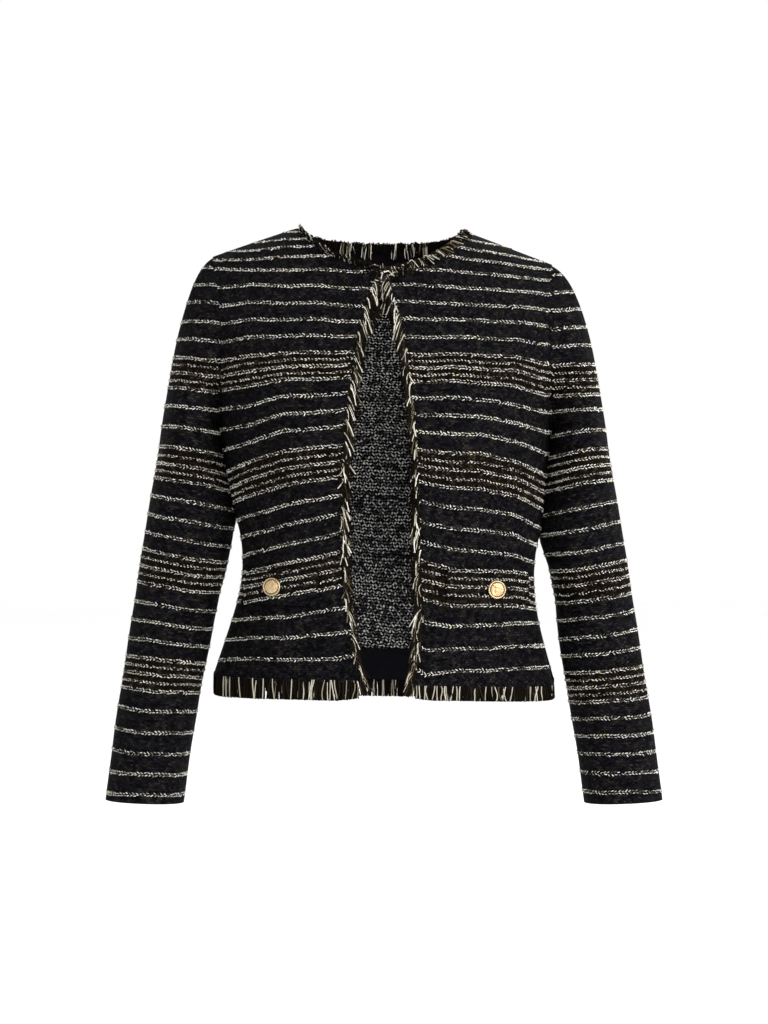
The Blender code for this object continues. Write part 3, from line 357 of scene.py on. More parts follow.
def back_knit(points):
    """The rows meet those of the fronts at the side seams and run almost level between them."""
    x = points[:, 0]
    down = MIDDLE_DOWN - (points[:, 2] - CAMERA_Z) / UNIT
    pull = np.clip(np.abs(x) / SEAM_HALF, 0, 1) ** 3
    left = droop(np.full(len(points), float(DROOP_LEFT[0][1])), down, DROOP_LEFT)
    right = droop(np.full(len(points), float(DROOP_RIGHT[-1][1])), down, DROOP_RIGHT)
    swing = ripple(points, 0.5) + SWING * np.sin(x / SWING_HALF) ** 2
    rows_left = down_cloth(down - left * pull + swing * (1 - pull), BODY, LEFT)
    rows_right = down_cloth(down - right * pull + swing * (1 - pull), BODY, RIGHT)
    mix = 0.5 + 0.5 * np.sin(np.clip(x / BLEND_HALF, -1, 1) * math.pi / 2)
    return np.stack([across_torso(points, "back"), rows_left * (1 - mix) + rows_right * mix], axis=-1)


def around_arm(points, side):
    """Turn round a sleeve's middle line, 0 outside and a quarter in front, and how far out and forward."""
    middle = side * table(ARMS, "across", points[:, 2])
    out = side * (points[:, 0] - middle)
    forward = table(ARMS, "back", points[:, 2]) - points[:, 1]
    return np.arctan2(forward, out) / FULL_TURN, out, forward


def sleeve_knit(points, side):
    turn, out, _ = around_arm(points, side)
    down = MIDDLE_DOWN - (points[:, 2] - CAMERA_Z) / ARM_UNIT
    slopes = [getattr(row, side_name(side)) for row in SLOPES]
    slope = np.interp(down, [row.height for row in SLOPES], slopes)
    down = down + slope * out / UNIT + ripple(points, 0.45)
    across = turn * FULL_TURN * table(ARMS, "radius", points[:, 2])
    return np.stack([across, down_cloth(down, SLEEVE, side)], axis=-1)


def crease_depth(part, points):
    x, _, z = points.T / MM
    depth = np.zeros(len(points))
    for crease in CREASES:
        if crease.part != part:
            continue
        lean = math.radians(crease.lean)
        aside, up = x - crease.x, z - crease.height
        run = up * math.cos(lean) - aside * math.sin(lean)
        off = aside * math.cos(lean) + up * math.sin(lean) + crease.bend * run * run
        depth += crease.depth * np.exp(-((run / crease.length) ** 2) - (off / crease.width) ** 2)
    middle, half = girth_at(points)
    share = np.abs((points[:, 0] - middle) / half)
    uneven = TORSO_UNEVEN * np.sin(x / 23 + z / 31) * np.sin(z / 19 - x / 37 + 1.0)
    return (depth + uneven) * np.clip((1.0 - share) / SEAM_FADE, 0, 1) * MM


def turned_from(turn, middle):
    """How far a turn is from another, the short way round."""
    return (turn - middle + 0.5) % 1 - 0.5


def elbow_depth(side, points):
    turn, _, _ = around_arm(points, side)
    z = points[:, 2] / MM
    depth = np.zeros(len(points))
    for elbow in ELBOWS:
        if elbow.side != side:
            continue
        around = turned_from(turn, elbow.turn) * ARM_GIRTH
        off = z - elbow.height - elbow.lean * around
        depth += elbow.depth * np.exp(-((around / elbow.length) ** 2) - (off / elbow.width) ** 2)
    uneven = ARM_UNEVEN * np.sin(turn * 12.6 + z / 21) * np.sin(z / 34)
    return (depth + uneven) * MM


def snug(part, points):
    """The shift that lays the sleeves against the body, most of it a little behind the side seams."""
    shift = np.zeros_like(points)
    if part.kind == "sleeve":
        turn, _, _ = around_arm(points, part.side)
        near = np.exp(-((turned_from(turn, SNUG_TURN) / SNUG_SPREAD) ** 2))
        shift[:, 0] = -part.side * near * table(SNUG, f"sleeve_{side_name(part.side)}", points[:, 2])
    else:
        middle, half = girth_at(points)
        share = (points[:, 0] - middle) / half
        near = np.clip((np.abs(share) - SNUG_FROM) / SNUG_RUN, 0, 1) ** 1.5
        left, right = table(SNUG, "body_left", points[:, 2]), table(SNUG, "body_right", points[:, 2])
        shift[:, 0] = near * np.where(share < 0, -left, right)
    return shift


def torso_outward(points):
    level = np.zeros(len(points))
    return unit(np.stack([points[:, 0] / HALF_WIDTH**2, points[:, 1] / HALF_DEPTH**2, level], axis=-1))


def arm_outward(points, side):
    _, out, forward = around_arm(points, side)
    return unit(np.stack([side * out, -forward, np.zeros(len(points))], axis=-1))


Part = namedtuple("Part", "name node kind side")
Shell = namedtuple("Shell", "piece points normals faces knit")
PARTS = (
    Part("knit_front_left", "front_left", "front", LEFT),
    Part("knit_front_right", "front_right", "front", RIGHT),
    Part("knit_side_front_left", "side_front_left", "front", LEFT),
    Part("knit_side_front_right", "side_front_right", "front", RIGHT),
    Part("knit_back", "back", "back", RIGHT),
    Part("knit_sleeve_left", "sleeve_left", "sleeve", LEFT),
    Part("knit_sleeve_right", "sleeve_right", "sleeve", RIGHT),
    Part("knit_flap_left", "pocket_flap_left", "flap", LEFT),
    Part("knit_flap_right", "pocket_flap_right", "flap", RIGHT),
    Part("facing_hem_back", "hem_facing_back", "facing", RIGHT),
)


def stripes_of(part):
    return {"sleeve": SLEEVE, "flap": FLAP}.get(part.kind, BODY)


def outward_of(part, points):
    return arm_outward(points, part.side) if part.kind == "sleeve" else torso_outward(points)


def knit_of(part, points):
    if part.kind in ("back", "facing"):
        return back_knit(points)
    return {"front": front_knit, "flap": flap_knit, "sleeve": sleeve_knit}[part.kind](points, part.side)


def folded(part, points):
    """Points of an outer face, moved into the part's creases, to its neighbour and down with its sag."""
    if part.kind == "sleeve":
        depth = elbow_depth(part.side, points)
    else:
        depth = crease_depth("front" if part.kind in ("front", "flap") else "back", points)
    points = points + outward_of(part, points) * depth[:, None] + snug(part, points)
    if part.kind == "front":
        low = np.clip((SAG_START - points[:, 2:]) / SAG_RUN, 0, 1)
        points = points + DOWN * (SAG[part.side] * low**2)
    return points


def outer_face(part, sharp=math.radians(50)):
    """The outer face of the CAD wall alone, as quads where it can be."""
    shape = bmesh.new()
    shape.from_mesh(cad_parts[part.node].data)
    bmesh.ops.remove_doubles(shape, verts=shape.verts, dist=0.01 * MM)
    bmesh.ops.join_triangles(
        shape,
        faces=shape.faces,
        angle_face_threshold=math.radians(40),
        angle_shape_threshold=math.radians(70),
    )
    done, groups = set(), []
    for start in shape.faces:
        if start in done:
            continue
        group, reach = [], [start]
        done.add(start)
        while reach:
            face = reach.pop()
            group.append(face)
            for edge in face.edges:
                if len(edge.link_faces) == 2 and edge.calc_face_angle() < sharp:
                    for other in edge.link_faces:
                        if other not in done:
                            done.add(other)
                            reach.append(other)
        groups.append(group)

    def outwardness(group):
        centres = np.array([face.calc_center_median() for face in group])
        normals = np.array([face.normal * face.calc_area() for face in group])
        return np.sum(normals * outward_of(part, centres))

    outer = set(max(groups, key=outwardness))
    bmesh.ops.delete(shape, geom=[face for face in shape.faces if face not in outer], context="FACES")
    mesh = bpy.data.meshes.new(part.name)
    shape.to_mesh(mesh)
    shape.free()
    return mesh


def rounded(mesh, levels):
    """A copy of a mesh, subdivided and smooth, with its corners kept."""
    rough = placed(mesh.name + "_rough", mesh)
    rounding = rough.modifiers.new("rounding", "SUBSURF")
    rounding.levels = rounding.render_levels = levels
    rounding.boundary_smooth = "PRESERVE_CORNERS"
    graph = bpy.context.evaluated_depsgraph_get()
    face = bpy.data.meshes.new_from_object(rough.evaluated_get(graph))
    bpy.data.objects.remove(rough)
    return face


def placed(name, data):
    """A new object of the scene."""
    made = bpy.data.objects.new(name, data)
    bpy.context.scene.collection.objects.link(made)
    return made


def arrays_of(mesh):
    points = np.empty(len(mesh.vertices) * 3)
    mesh.vertices.foreach_get("co", points)
    normals = np.empty(len(mesh.vertices) * 3, np.float32)
    mesh.vertices.foreach_get("normal", normals)
    return points.reshape(-1, 3), normals.reshape(-1, 3).astype(float)


def border_edges(faces):
    """Edges that only one face has, each in that face's own direction."""
    directed = {edge for face in faces for edge in zip(face, face[1:] + face[:1])}
    return sorted((a, b) for a, b in directed if (b, a) not in directed)


def border_loops(faces):
    """The borders of a surface, each as its points in order."""
    follow = dict(border_edges(faces))
    loops, left = [], set(follow)
    while left:
        loop, here = [], min(left)
        while here in left:
            left.discard(here)
            loop.append(here)
            here = follow[here]
        loops.append(loop)
    return loops


def off_border(place, normal):
    """The way off the cloth at each point of its border."""
    along = unit(np.roll(place, -3, axis=0) - np.roll(place, 3, axis=0))
    return np.cross(along, normal)


def seam_allowance(points, normals, loop, wall):
    """A closed strip that runs on from a sleeve's armhole border, under the cloth of the body."""
    lap, clear, thick, inward = 1.0 * MM, 0.2 * MM, 0.6, 0.35
    place, normal = points[loop], normals[loop]
    off = unit(off_border(place, normal) - inward * torso_outward(place))
    near = place - off * lap - normal * 0.6 * wall
    far = place + off * ALLOWANCE - normal * (wall + clear)
    under = far - normal * thick * MM, near - normal * (0.4 * wall + 2 * clear)
    ring = np.stack([near, far, *under], axis=1)
    index = np.arange(len(loop) * 4).reshape(-1, 4)
    after = np.roll(index, -1, axis=0)
    beside, beside_after = np.roll(index, -1, axis=1), np.roll(after, -1, axis=1)
    faces = np.stack([index, beside, beside_after, after], axis=-1).reshape(-1, 4)
    return ring.reshape(-1, 3), faces


def make_shell(part, levels, wall):
    """The finished shell, creased and closed, with its knit coordinates as a vertex attribute."""
    face = rounded(outer_face(part), levels)
    points = folded(part, arrays_of(face)[0])
    face.vertices.foreach_set("co", points.ravel())
    face.update()
    _, normals = arrays_of(face)
    outer = [tuple(polygon.vertices) for polygon in face.polygons]
    count = len(points)
    inner = [tuple(corner + count for corner in reversed(corners)) for corners in outer]
    rim = [(b, a, a + count, b + count) for a, b in border_edges(outer)]
    everything, strip, loop = [points, points - normals * wall], [], []
    if part.kind == "sleeve":
        loop = max(border_loops(outer), key=lambda border: points[border, 2].mean())
        ring, quads = seam_allowance(points, normals, loop, wall)
        everything.append(ring)
        strip = (quads + 2 * count).tolist()
    mesh = bpy.data.meshes.new(part.name)
    mesh.from_pydata(np.concatenate(everything).tolist(), [], outer + inner + rim + strip)
    finishes = np.repeat([0, 1, 2], [len(outer), len(inner), len(rim) + len(strip)])
    mesh.polygons.foreach_set("material_index", finishes.astype(np.int32))
    mesh.polygons.foreach_set("use_smooth", np.ones(len(finishes), bool))
    mesh.set_sharp_from_angle(angle=math.radians(60))
    knit = knit_of(part, points)
    group = np.zeros(count)
    for stripe, place in zip(stripes_of(part), cloth_rows(stripes_of(part))):
        if stripe.rows == 1:
            near = np.clip((GROUP_REACH * MM - np.abs(knit[:, 1] - place)) / (GROUP_FADE * MM), 0, 1)
            group = np.maximum(group, near * (FLAP_GROUP if part.kind == "flap" else 1.0))
    on_shell = np.stack([knit[:, 0], knit[:, 1], group], axis=-1).astype(np.float32)
    on_strip = on_shell[np.repeat(np.array(loop, int), 4)]
    held = mesh.attributes.new("knit", "FLOAT_VECTOR", "POINT")
    held.data.foreach_set("vector", np.concatenate([on_shell, on_shell, on_strip]).ravel())
    return Shell(placed(part.name, mesh), points, normals, outer, knit)


def edges_of(faces):
    edges = {tuple(sorted(edge)) for face in faces for edge in zip(face, face[1:] + face[:1])}
    return np.array(sorted(edges))


def trace(points, normals, edges, value, order, level, longest_gap=16 * MM):
    """Runs of points on the surface where value is at a level, in the given order across."""
    start, end = edges[:, 0], edges[:, 1]
    a, b = value[start] - level, value[end] - level
    cut = (a < 0) != (b < 0)
    if cut.sum() < 3:
        return []
    start, end, t = start[cut], end[cut], (a[cut] / (a[cut] - b[cut]))[:, None]
    place = points[start] * (1 - t) + points[end] * t
    normal = normals[start] * (1 - t) + normals[end] * t
    key = order[start] * (1 - t[:, 0]) + order[end] * t[:, 0]
    turn = np.argsort(key)
    place, normal = place[turn], normal[turn]
    steps = np.linalg.norm(np.diff(place, axis=0), axis=1)
    ends = np.flatnonzero(steps > longest_gap) + 1
    runs = np.split(np.arange(len(place)), ends)
    return [(place[run], unit(normal[run])) for run in runs if len(run) > 2]


def sampled(values, total, marks):
    return np.stack([np.interp(marks, total, column) for column in values.T], axis=-1)


def run_lengths(place):
    """How far along a run each of its points is."""
    return np.concatenate([[0], np.cumsum(np.linalg.norm(np.diff(place, axis=0), axis=1))])


def even_run(place, normal, pitch, start, beside=2.5 * MM):
    """Places every pitch along a run, with the directions along it, up from it and out of the cloth."""
    total = run_lengths(place)
    if total[-1] < 2 * pitch:
        return None
    marks = np.arange(start * pitch, total[-1] - 0.2 * pitch, pitch)
    here = sampled(place, total, marks)
    ahead = sampled(place, total, np.minimum(marks + beside, total[-1]))
    behind = sampled(place, total, np.maximum(marks - beside, 0))
    out = unit(sampled(normal, total, marks))
    along = unit(ahead - behind)
    along = unit(along - out * np.sum(along * out, axis=1, keepdims=True))
    return here, along, np.cross(out, along), out


# One stitch: tips, then left, top and right of two stations. Along, aside and out, as shares
STITCH_POINTS = np.array([
    (-0.5, 0, -0.1), (0.5, 0, -0.1),
    (-0.24, -0.5, 0.0), (-0.22, 0, 1.0), (-0.24, 0.5, 0.0),
    (0.24, -0.5, 0.0), (0.22, 0, 1.0), (0.24, 0.5, 0.0),
])
STITCH_FACES = np.array([
    (0, 2, 3), (0, 3, 4), (2, 5, 6), (2, 6, 3), (3, 6, 7), (3, 7, 4), (1, 6, 5), (1, 7, 6),
    (0, 4, 2), (2, 4, 7), (2, 7, 5), (1, 5, 7),
])


def stitch_points(run, slant, chance, kind):
    """Corners of a row of stitches, each a little different."""
    here, along, up, out = run
    count = len(here)
    tilt = slant + chance.normal(0, SLANT_SPREAD, count)
    length = kind.length * MM * chance.uniform(0.7, 1.15, count)
    width = kind.width * MM * chance.uniform(0.65, 1.2, count)
    height = STITCH_HEIGHT * MM * chance.uniform(0.75, 1.2, count)
    axis = along * np.cos(tilt)[:, None] + up * np.sin(tilt)[:, None]
    aside = np.cross(out, axis)
    shares = STITCH_POINTS[None]
    return (
        here[:, None]
        + axis[:, None] * (shares[..., 0] * length[:, None])[..., None]
        + aside[:, None] * (shares[..., 1] * width[:, None])[..., None]
        + out[:, None] * (shares[..., 2] * height[:, None] - STITCH_SUNK * MM)[..., None]
    )


def joined(name, points, faces, tones, finish):
    """One object from arrays of points and a list of faces, with a tone for each point."""
    mesh = bpy.data.meshes.new(name)
    mesh.from_pydata(points.tolist(), [], faces)
    held = mesh.attributes.new("tone", "FLOAT", "POINT")
    held.data.foreach_set("value", tones.astype(np.float32))
    mesh.polygons.foreach_set("use_smooth", np.ones(len(mesh.polygons), bool))
    mesh.materials.append(finish)
    piece = placed(name, mesh)
    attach(piece, "root")
    return piece


def make_stripes(part, shell, finish, seed):
    """The raised stitches of a panel's stripes, as one joined mesh."""
    points, normals, knit, edges = shell.points, shell.normals, shell.knit, edges_of(shell.faces)
    chance = np.random.default_rng(seed)
    order = knit[:, 0]
    if part.kind == "sleeve":
        order = around_arm(points, part.side)[0]
        wrapped = np.abs(order[edges[:, 0]] - order[edges[:, 1]]) > 0.5
        edges = edges[~wrapped]
    made, tones = [], []
    for stripe, level in zip(stripes_of(part), cloth_rows(stripes_of(part))):
        kind = THIN if stripe.rows == 1 else USUAL
        for way in (-1, 1):
            for place, normal in trace(points, normals, edges, knit[:, 1], order, level):
                run = even_run(place, normal, STITCH_PITCH * MM, 0.60 if way > 0 else 0.35)
                if run is None:
                    continue
                here, along, up, out = run
                shift = -way * kind.offset * MM + chance.normal(0, 0.30 * MM, len(here))
                here = here + up * shift[:, None] + along * chance.normal(0, 0.18 * MM, (len(here), 1))
                keep = chance.random(len(here)) > kind.missing
                corners = stitch_points((here, along, up, out), way * SLANT, chance, kind)[keep]
                made.append(corners.reshape(-1, 3))
                patch = np.sin(np.arange(len(corners)) / 11.0 + chance.uniform(0, 6)) * 0.14
                tone = chance.uniform(-0.02, 0.82, len(corners)) + patch
                if stripe.rows == 1:
                    tone = tone * 0.85
                tones.append(np.repeat(np.clip(tone, 0, 1), len(STITCH_POINTS)))
    points, tones = np.concatenate(made), np.concatenate(tones)
    count = len(points) // len(STITCH_POINTS)
    faces = (STITCH_FACES[None] + len(STITCH_POINTS) * np.arange(count)[:, None, None]).reshape(-1, 3)
    return joined(part.name.replace("knit", "stitches"), points, faces.tolist(), tones, finish)


# ---- Materials


def operation(name, swapped=False):
    """A method of Value that makes a maths node."""

    def made(first, *others):
        values = (first, *others)
        return first.nodes.maths(name, *(values[::-1] if swapped else values))

    return made


class Value:
    """What a node gives. Arithmetic with it makes maths nodes."""

    def __init__(self, nodes, socket):
        self.nodes, self.socket = nodes, socket

    __add__, __sub__, __rsub__ = operation("ADD"), operation("SUBTRACT"), operation("SUBTRACT", True)
    __mul__, __truediv__, __pow__ = operation("MULTIPLY"), operation("DIVIDE"), operation("POWER")
    __mod__, __abs__, __gt__ = operation("MODULO"), operation("ABSOLUTE"), operation("GREATER_THAN")
    floor, sine = operation("FLOOR"), operation("SINE")
    at_most, at_least = operation("MINIMUM"), operation("MAXIMUM")


def rgba(colour):
    return colour if isinstance(colour, Value) else (*colour, 1)


class Nodes:
    """A material's node tree, with short calls for its usual nodes."""

    def __init__(self, name):
        self.material = bpy.data.materials.new(name)
        self.material.use_nodes = True
        self.tree = self.material.node_tree
        self.shader = self.tree.nodes["Principled BSDF"]

    def plug(self, socket, value):
        if isinstance(value, Value):
            self.tree.links.new(value.socket, socket)
        else:
            socket.default_value = value

    def node(self, kind, inputs=(), **settings):
        """A new node, with its inputs by name or place, and its settings."""
        made = self.tree.nodes.new(kind)
        for key, value in settings.items():
            setattr(made, key, value)
        for key, value in dict(inputs).items():
            self.plug(made.inputs[key], value)
        return made

    def out(self, made, output=0):
        return Value(self, made.outputs[output])

    def maths(self, name, *values):
        return self.out(self.node("ShaderNodeMath", enumerate(values), operation=name))

    def attribute(self, name, output="Fac"):
        return self.out(self.node("ShaderNodeAttribute", attribute_name=name), output)

    def place(self):
        return self.out(self.node("ShaderNodeTexCoord"), "Object")

    def split(self, vector):
        made = self.node("ShaderNodeSeparateXYZ", {0: vector})
        return [self.out(made, k) for k in range(3)]

    def vector(self, *values):
        return self.out(self.node("ShaderNodeCombineXYZ", enumerate(values)))

    def noise(self, scale, detail=2.0, vector=None):
        inputs = {"Scale": scale, "Detail": detail, "Vector": self.place() if vector is None else vector}
        return self.out(self.node("ShaderNodeTexNoise", inputs), "Fac")

    def cell(self, *values):
        """A random value that is the same all over each whole-number cell."""
        inputs = {"Vector": self.vector(*values)}
        return self.out(self.node("ShaderNodeTexWhiteNoise", inputs, noise_dimensions="3D"), "Value")

    def ramp(self, value, *stops):
        made = self.node("ShaderNodeValToRGB", {0: value})
        elements = made.color_ramp.elements
        while len(elements) < len(stops):
            elements.new(0.5)
        for element, (place, colour) in zip(elements, stops):
            element.position = place
            element.color = rgba(colour)
        return self.out(made)

    def mix(self, share, first, second, blend="MIX"):
        inputs = {0: share, 6: rgba(first), 7: rgba(second)}
        return self.out(self.node("ShaderNodeMix", inputs, data_type="RGBA", blend_type=blend), 2)

    def bump(self, height, distance, strength=1.0, below=None):
        inputs = {"Distance": distance, "Strength": strength, "Height": height}
        if below is not None:
            inputs["Normal"] = below
        return self.out(self.node("ShaderNodeBump", inputs))

    def finish(self, colour, roughness, normal=None, metallic=0.0, sheen=0.0, specular=0.5, tint=(1, 1, 1)):
        inputs = {
            "Base Color": rgba(colour), "Roughness": roughness, "Metallic": metallic, "Sheen Weight": sheen,
            "Specular IOR Level": specular, "Specular Tint": rgba(tint),
        }
        if normal is not None:
            inputs["Normal"] = normal
        for name, value in inputs.items():
            self.plug(self.shader.inputs[name], value)
        return self.material


# Width and height of a stitch of the tweed and of a loop of its wrong side
TWEED_WALE, TWEED_COURSE = 3.3 * MM, 2.35 * MM
PURL_WALE, PURL_COURSE = 4.5 * MM, 3.1 * MM
# The plain band behind the neck starts at this height
NECK_BAND = -52 * MM
# The black yarns shine a little brown
WARM = (1.0, 0.84, 0.58)
# Colours of the yarns: where on its ramp each lies
GROUND = (
    (0.0, (0.0004, 0.0004, 0.0005)), (0.32, (0.0014, 0.0012, 0.0013)), (0.43, (0.0037, 0.0033, 0.0072)),
    (0.51, (0.0112, 0.0074, 0.0108)), (0.59, (0.0040, 0.0078, 0.0058)), (0.72, (0.0260, 0.0220, 0.0195)),
)
BROWN = (
    (0.0, (0.0010, 0.0007, 0.0004)), (0.45, (0.0050, 0.0029, 0.0013)), (0.8, (0.013, 0.0075, 0.0036)),
    (0.97, (0.045, 0.033, 0.022)),
)
REVERSE = (
    (0.0, (0.015, 0.015, 0.018)), (0.28, (0.07, 0.07, 0.075)), (0.46, (0.34, 0.34, 0.34)),
    (0.62, (0.92, 0.91, 0.89)), (0.72, (1.0, 0.99, 0.96)),
)
YARN = (
    (0.00, (0.035, 0.028, 0.022)), (0.12, (0.20, 0.185, 0.155)), (0.28, (0.48, 0.46, 0.41)),
    (0.48, (0.76, 0.74, 0.68)), (0.70, (0.92, 0.91, 0.87)), (0.80, (0.82, 0.80, 0.46)),
    (0.88, (0.95, 0.94, 0.91)),
)
FRINGE = (
    (0.0, (0.0015, 0.0013, 0.0008)), (0.32, (0.0045, 0.0038, 0.0026)), (0.40, (0.008, 0.006, 0.004)),
    (0.54, (0.020, 0.014, 0.010)), (0.60, (0.14, 0.11, 0.06)), (0.68, (0.32, 0.28, 0.21)),
    (0.85, (0.60, 0.56, 0.47)), (1.0, (0.84, 0.81, 0.73)),
)


def knit_cells(nodes, stagger=0.37, narrow=0.7):
    """The slanting stitches of the knit: height, two random values for each, and how brown they are."""
    across, down, group = nodes.split(nodes.attribute("knit", "Vector"))
    waver = nodes.noise(260.0, 1.0) - 0.5
    rows = down / TWEED_COURSE + waver * 0.5
    row = rows.floor()
    share = rows - row
    way = abs(row) % 2.0 * 2.0 - 1.0
    wales = across / TWEED_WALE + (share - 0.5) * (way * 0.75) + row * stagger + waver * 0.6
    column = wales.floor()
    height = ((wales - column) * math.pi).sine() ** narrow * (share * math.pi).sine() ** 0.6
    return height, nodes.cell(column, row, 0.0), nodes.cell(column, row, 7.0), group


def purl_cells(nodes):
    """Purl loops that lean by turns, so each row is a broken zigzag: height, chance and band."""
    across, down, _ = nodes.split(nodes.attribute("knit", "Vector"))
    waver = nodes.noise(240.0, 1.0) - 0.5
    rows = down / PURL_COURSE + waver * 1.1
    row = rows.floor()
    wales = across / PURL_WALE + waver * 0.8 + nodes.cell(0.0, row, 5.0) * 6.0
    column = wales.floor()
    way = abs(column) % 2.0 * 2.0 - 1.0
    aside = wales - column - 0.5
    above = rows - row - 0.5 - aside * way * 0.55
    height = 1.0 - (abs(aside / 0.44) ** 2.0 + abs(above / 0.31) ** 2.0)
    height = (height * (nodes.noise(700.0, 1.0) * 3.4 + 0.1)).at_most(1.0).at_least(0.0)
    bands = nodes.noise(1.0, 1.0, nodes.vector(across * 16.0, down * 130.0, 0.0))
    return height, nodes.cell(column, row, 0.0), bands


def tweed_material():
    nodes = Nodes("tweed_ground")
    height, chance, other, group = knit_cells(nodes)
    ground = nodes.ramp(chance * 0.4 + nodes.noise(120.0, 3.0) * 0.6, *GROUND)
    colour = nodes.mix(group * 0.8, ground, nodes.ramp(other, *BROWN))
    flecks = (other > 0.992) * 0.4
    colour = nodes.mix(flecks, colour, (0.07, 0.065, 0.06))
    # Painted shade: the hollows between the stitches are darkened nearly to black
    colour = nodes.mix(height * 0.85 + 0.15, (0.0006, 0.0006, 0.0006), colour)
    normal = nodes.bump(height, 1.0 * MM, 1.0, nodes.bump(nodes.noise(1400.0, 3.0), 0.25 * MM, 0.7))
    return nodes.finish(colour, 0.8, normal, specular=0.03, tint=nodes.mix(group, (1, 1, 1), WARM))


def reverse_material():
    """The wrong side: small loops of black and grey yarn in bands, and a plain band behind the neck."""
    nodes = Nodes("tweed_reverse")
    height, chance, bands = purl_cells(nodes)
    loops = nodes.ramp(chance * 0.55 + (bands * 0.9 - 0.2), *REVERSE)
    _, _, high = nodes.split(nodes.place())
    # Painted shade: the wrong side gets darker towards the hem
    hem_shade = nodes.ramp(high * 2.5 + 1.25, (0.2, (0.55, 0.55, 0.55)), (0.9, (1, 1, 1)))
    # Painted shade: the hollows between the loops are darkened nearly to black
    colour = nodes.mix(height, (0.001, 0.001, 0.0015), nodes.mix(1.0, loops, hem_shade, "MULTIPLY"))
    neck = high > NECK_BAND
    colour = nodes.mix(neck, colour, (0.0042, 0.0034, 0.0052))
    fuzz = nodes.bump(nodes.noise(1500.0, 3.0), 0.2 * MM, 0.6)
    normal = nodes.bump(height * (1.0 - neck), 0.9 * MM, 1.0, fuzz)
    return nodes.finish(colour, 0.85, normal, specular=0.05, tint=WARM)


def facing_material():
    nodes = Nodes("facing_cloth")
    across, down, _ = nodes.split(nodes.attribute("knit", "Vector"))
    ribs = (across * 2600.0 + down * 2600.0).sine()
    patch = nodes.noise(60.0, 3.0)
    colour = nodes.ramp(patch, (0.3, (0.0022, 0.0020, 0.0034)), (0.7, (0.0040, 0.0036, 0.0055)))
    return nodes.finish(colour, 0.7, nodes.bump(ribs, 0.12 * MM, 0.5), specular=0.03)


def yarn_material():
    """Cream chain yarn with glints of straw-yellow."""
    nodes = Nodes("yarn_cream")
    colour = nodes.ramp(nodes.attribute("tone"), *YARN)
    colour = nodes.mix(nodes.noise(900.0, 3.0) * 0.35, colour, (0.10, 0.085, 0.06))
    normal = nodes.bump(nodes.noise(1700.0, 2.0), 0.25 * MM, 0.8)
    return nodes.finish(colour, 0.62, normal, sheen=0.05, specular=0.25)


def fringe_material():
    """Loose ends: black and brown below a tone of a half, olive gold, then cream."""
    nodes = Nodes("yarn_fringe")
    colour = nodes.ramp(nodes.attribute("tone"), *FRINGE)
    colour = nodes.mix(nodes.noise(800.0, 2.0) * 0.35, colour, (0.006, 0.004, 0.003))
    normal = nodes.bump(nodes.noise(1900.0, 2.0), 0.2 * MM, 0.7)
    return nodes.finish(colour, 0.7, normal, specular=0.04, tint=WARM)


def gold_material():
    """Worn metal, dark in the hollows of the relief."""
    nodes = Nodes("button_gold")
    wear = nodes.noise(420.0, 4.0)
    bright = nodes.ramp(wear, (0.3, (0.50, 0.36, 0.19)), (0.7, (0.68, 0.52, 0.31)))
    colour = nodes.mix(nodes.attribute("tone"), (0.075, 0.045, 0.022), bright)
    normal = nodes.bump(nodes.noise(1600.0, 2.0), 0.08 * MM, 0.5)
    return nodes.finish(colour, wear * 0.25 + 0.16, normal, metallic=1.0)


def wire_material():
    nodes = Nodes("hook_wire")
    wear = nodes.noise(500.0, 3.0)
    colour = nodes.ramp(wear, (0.3, (0.03, 0.03, 0.033)), (0.7, (0.08, 0.08, 0.085)))
    return nodes.finish(colour, 0.35, nodes.bump(wear, 0.05 * MM, 0.4), metallic=1.0)


# ---- Fringe


# Layers of the fringe from the back. In mm: depth below the outer face, pitch and radius
Layer = namedtuple("Layer", "depth pitch cream radius")
HEM_LAYERS = (Layer(1.9, 0.85, 0.08, 0.74), Layer(1.1, 0.95, 0.03, 0.72), Layer(0.2, 3.6, 0.40, 0.66))
EDGE_LAYERS = (
    Layer(1.8, 1.2, 0.0, 0.72), Layer(1.1, 1.4, 0.03, 0.72), Layer(0.5, 2.0, 0.12, 0.74),
    Layer(0.0, 4.8, 0.62, 0.92),
)
NECK_LAYERS = (Layer(1.7, 1.2, 0.0, 0.60), Layer(1.0, 1.5, 0.07, 0.62), Layer(0.3, 2.7, 0.34, 0.62))
# Bunches of pale ends inside the back of the neck: how far across, and half their width, in mm
BUNCHES, BUNCH_HALF = (-47, -39, -21, 12, 29, 47), 3.5
# Sides of a strand, how far its root is inside the cloth, and how clear of the cloth it stays
STRAND_SIDES = 4
TUCK = 2.0 * MM
CLEAR = 0.6 * MM
# No strand of the edges ends lower than this
LOWEST_EDGE_END = -505 * MM
# Ends of the knot, and where they start about its middle, in mm: across, back and up
KNOT_ENDS = 26
KNOT_BOX = ((-5, 5), (-0.5, 0.5), (-16, 2))
# Where a border is hem, where it is front edge, and middle, half width and lowest place of the neck edge
HEM_WAY, HEM_TOP = -0.45, -460 * MM
EDGE_WAY, EDGE_HALF, EDGE_TOP = 0.5, 50 * MM, -58 * MM
FRONT_NECK = (-2.5 * MM, 89.5 * MM, -60 * MM)
BACK_NECK = (-4 * MM, 90.5 * MM, -30 * MM)


def rim_loop(shell):
    """The longest border of a shell's outer face, in order: points, normals and the way off the cloth."""
    loop = np.array(max(border_loops(shell.faces), key=len))
    place, normal = shell.points[loop], shell.normals[loop]
    return place, normal, unit(off_border(place, normal))


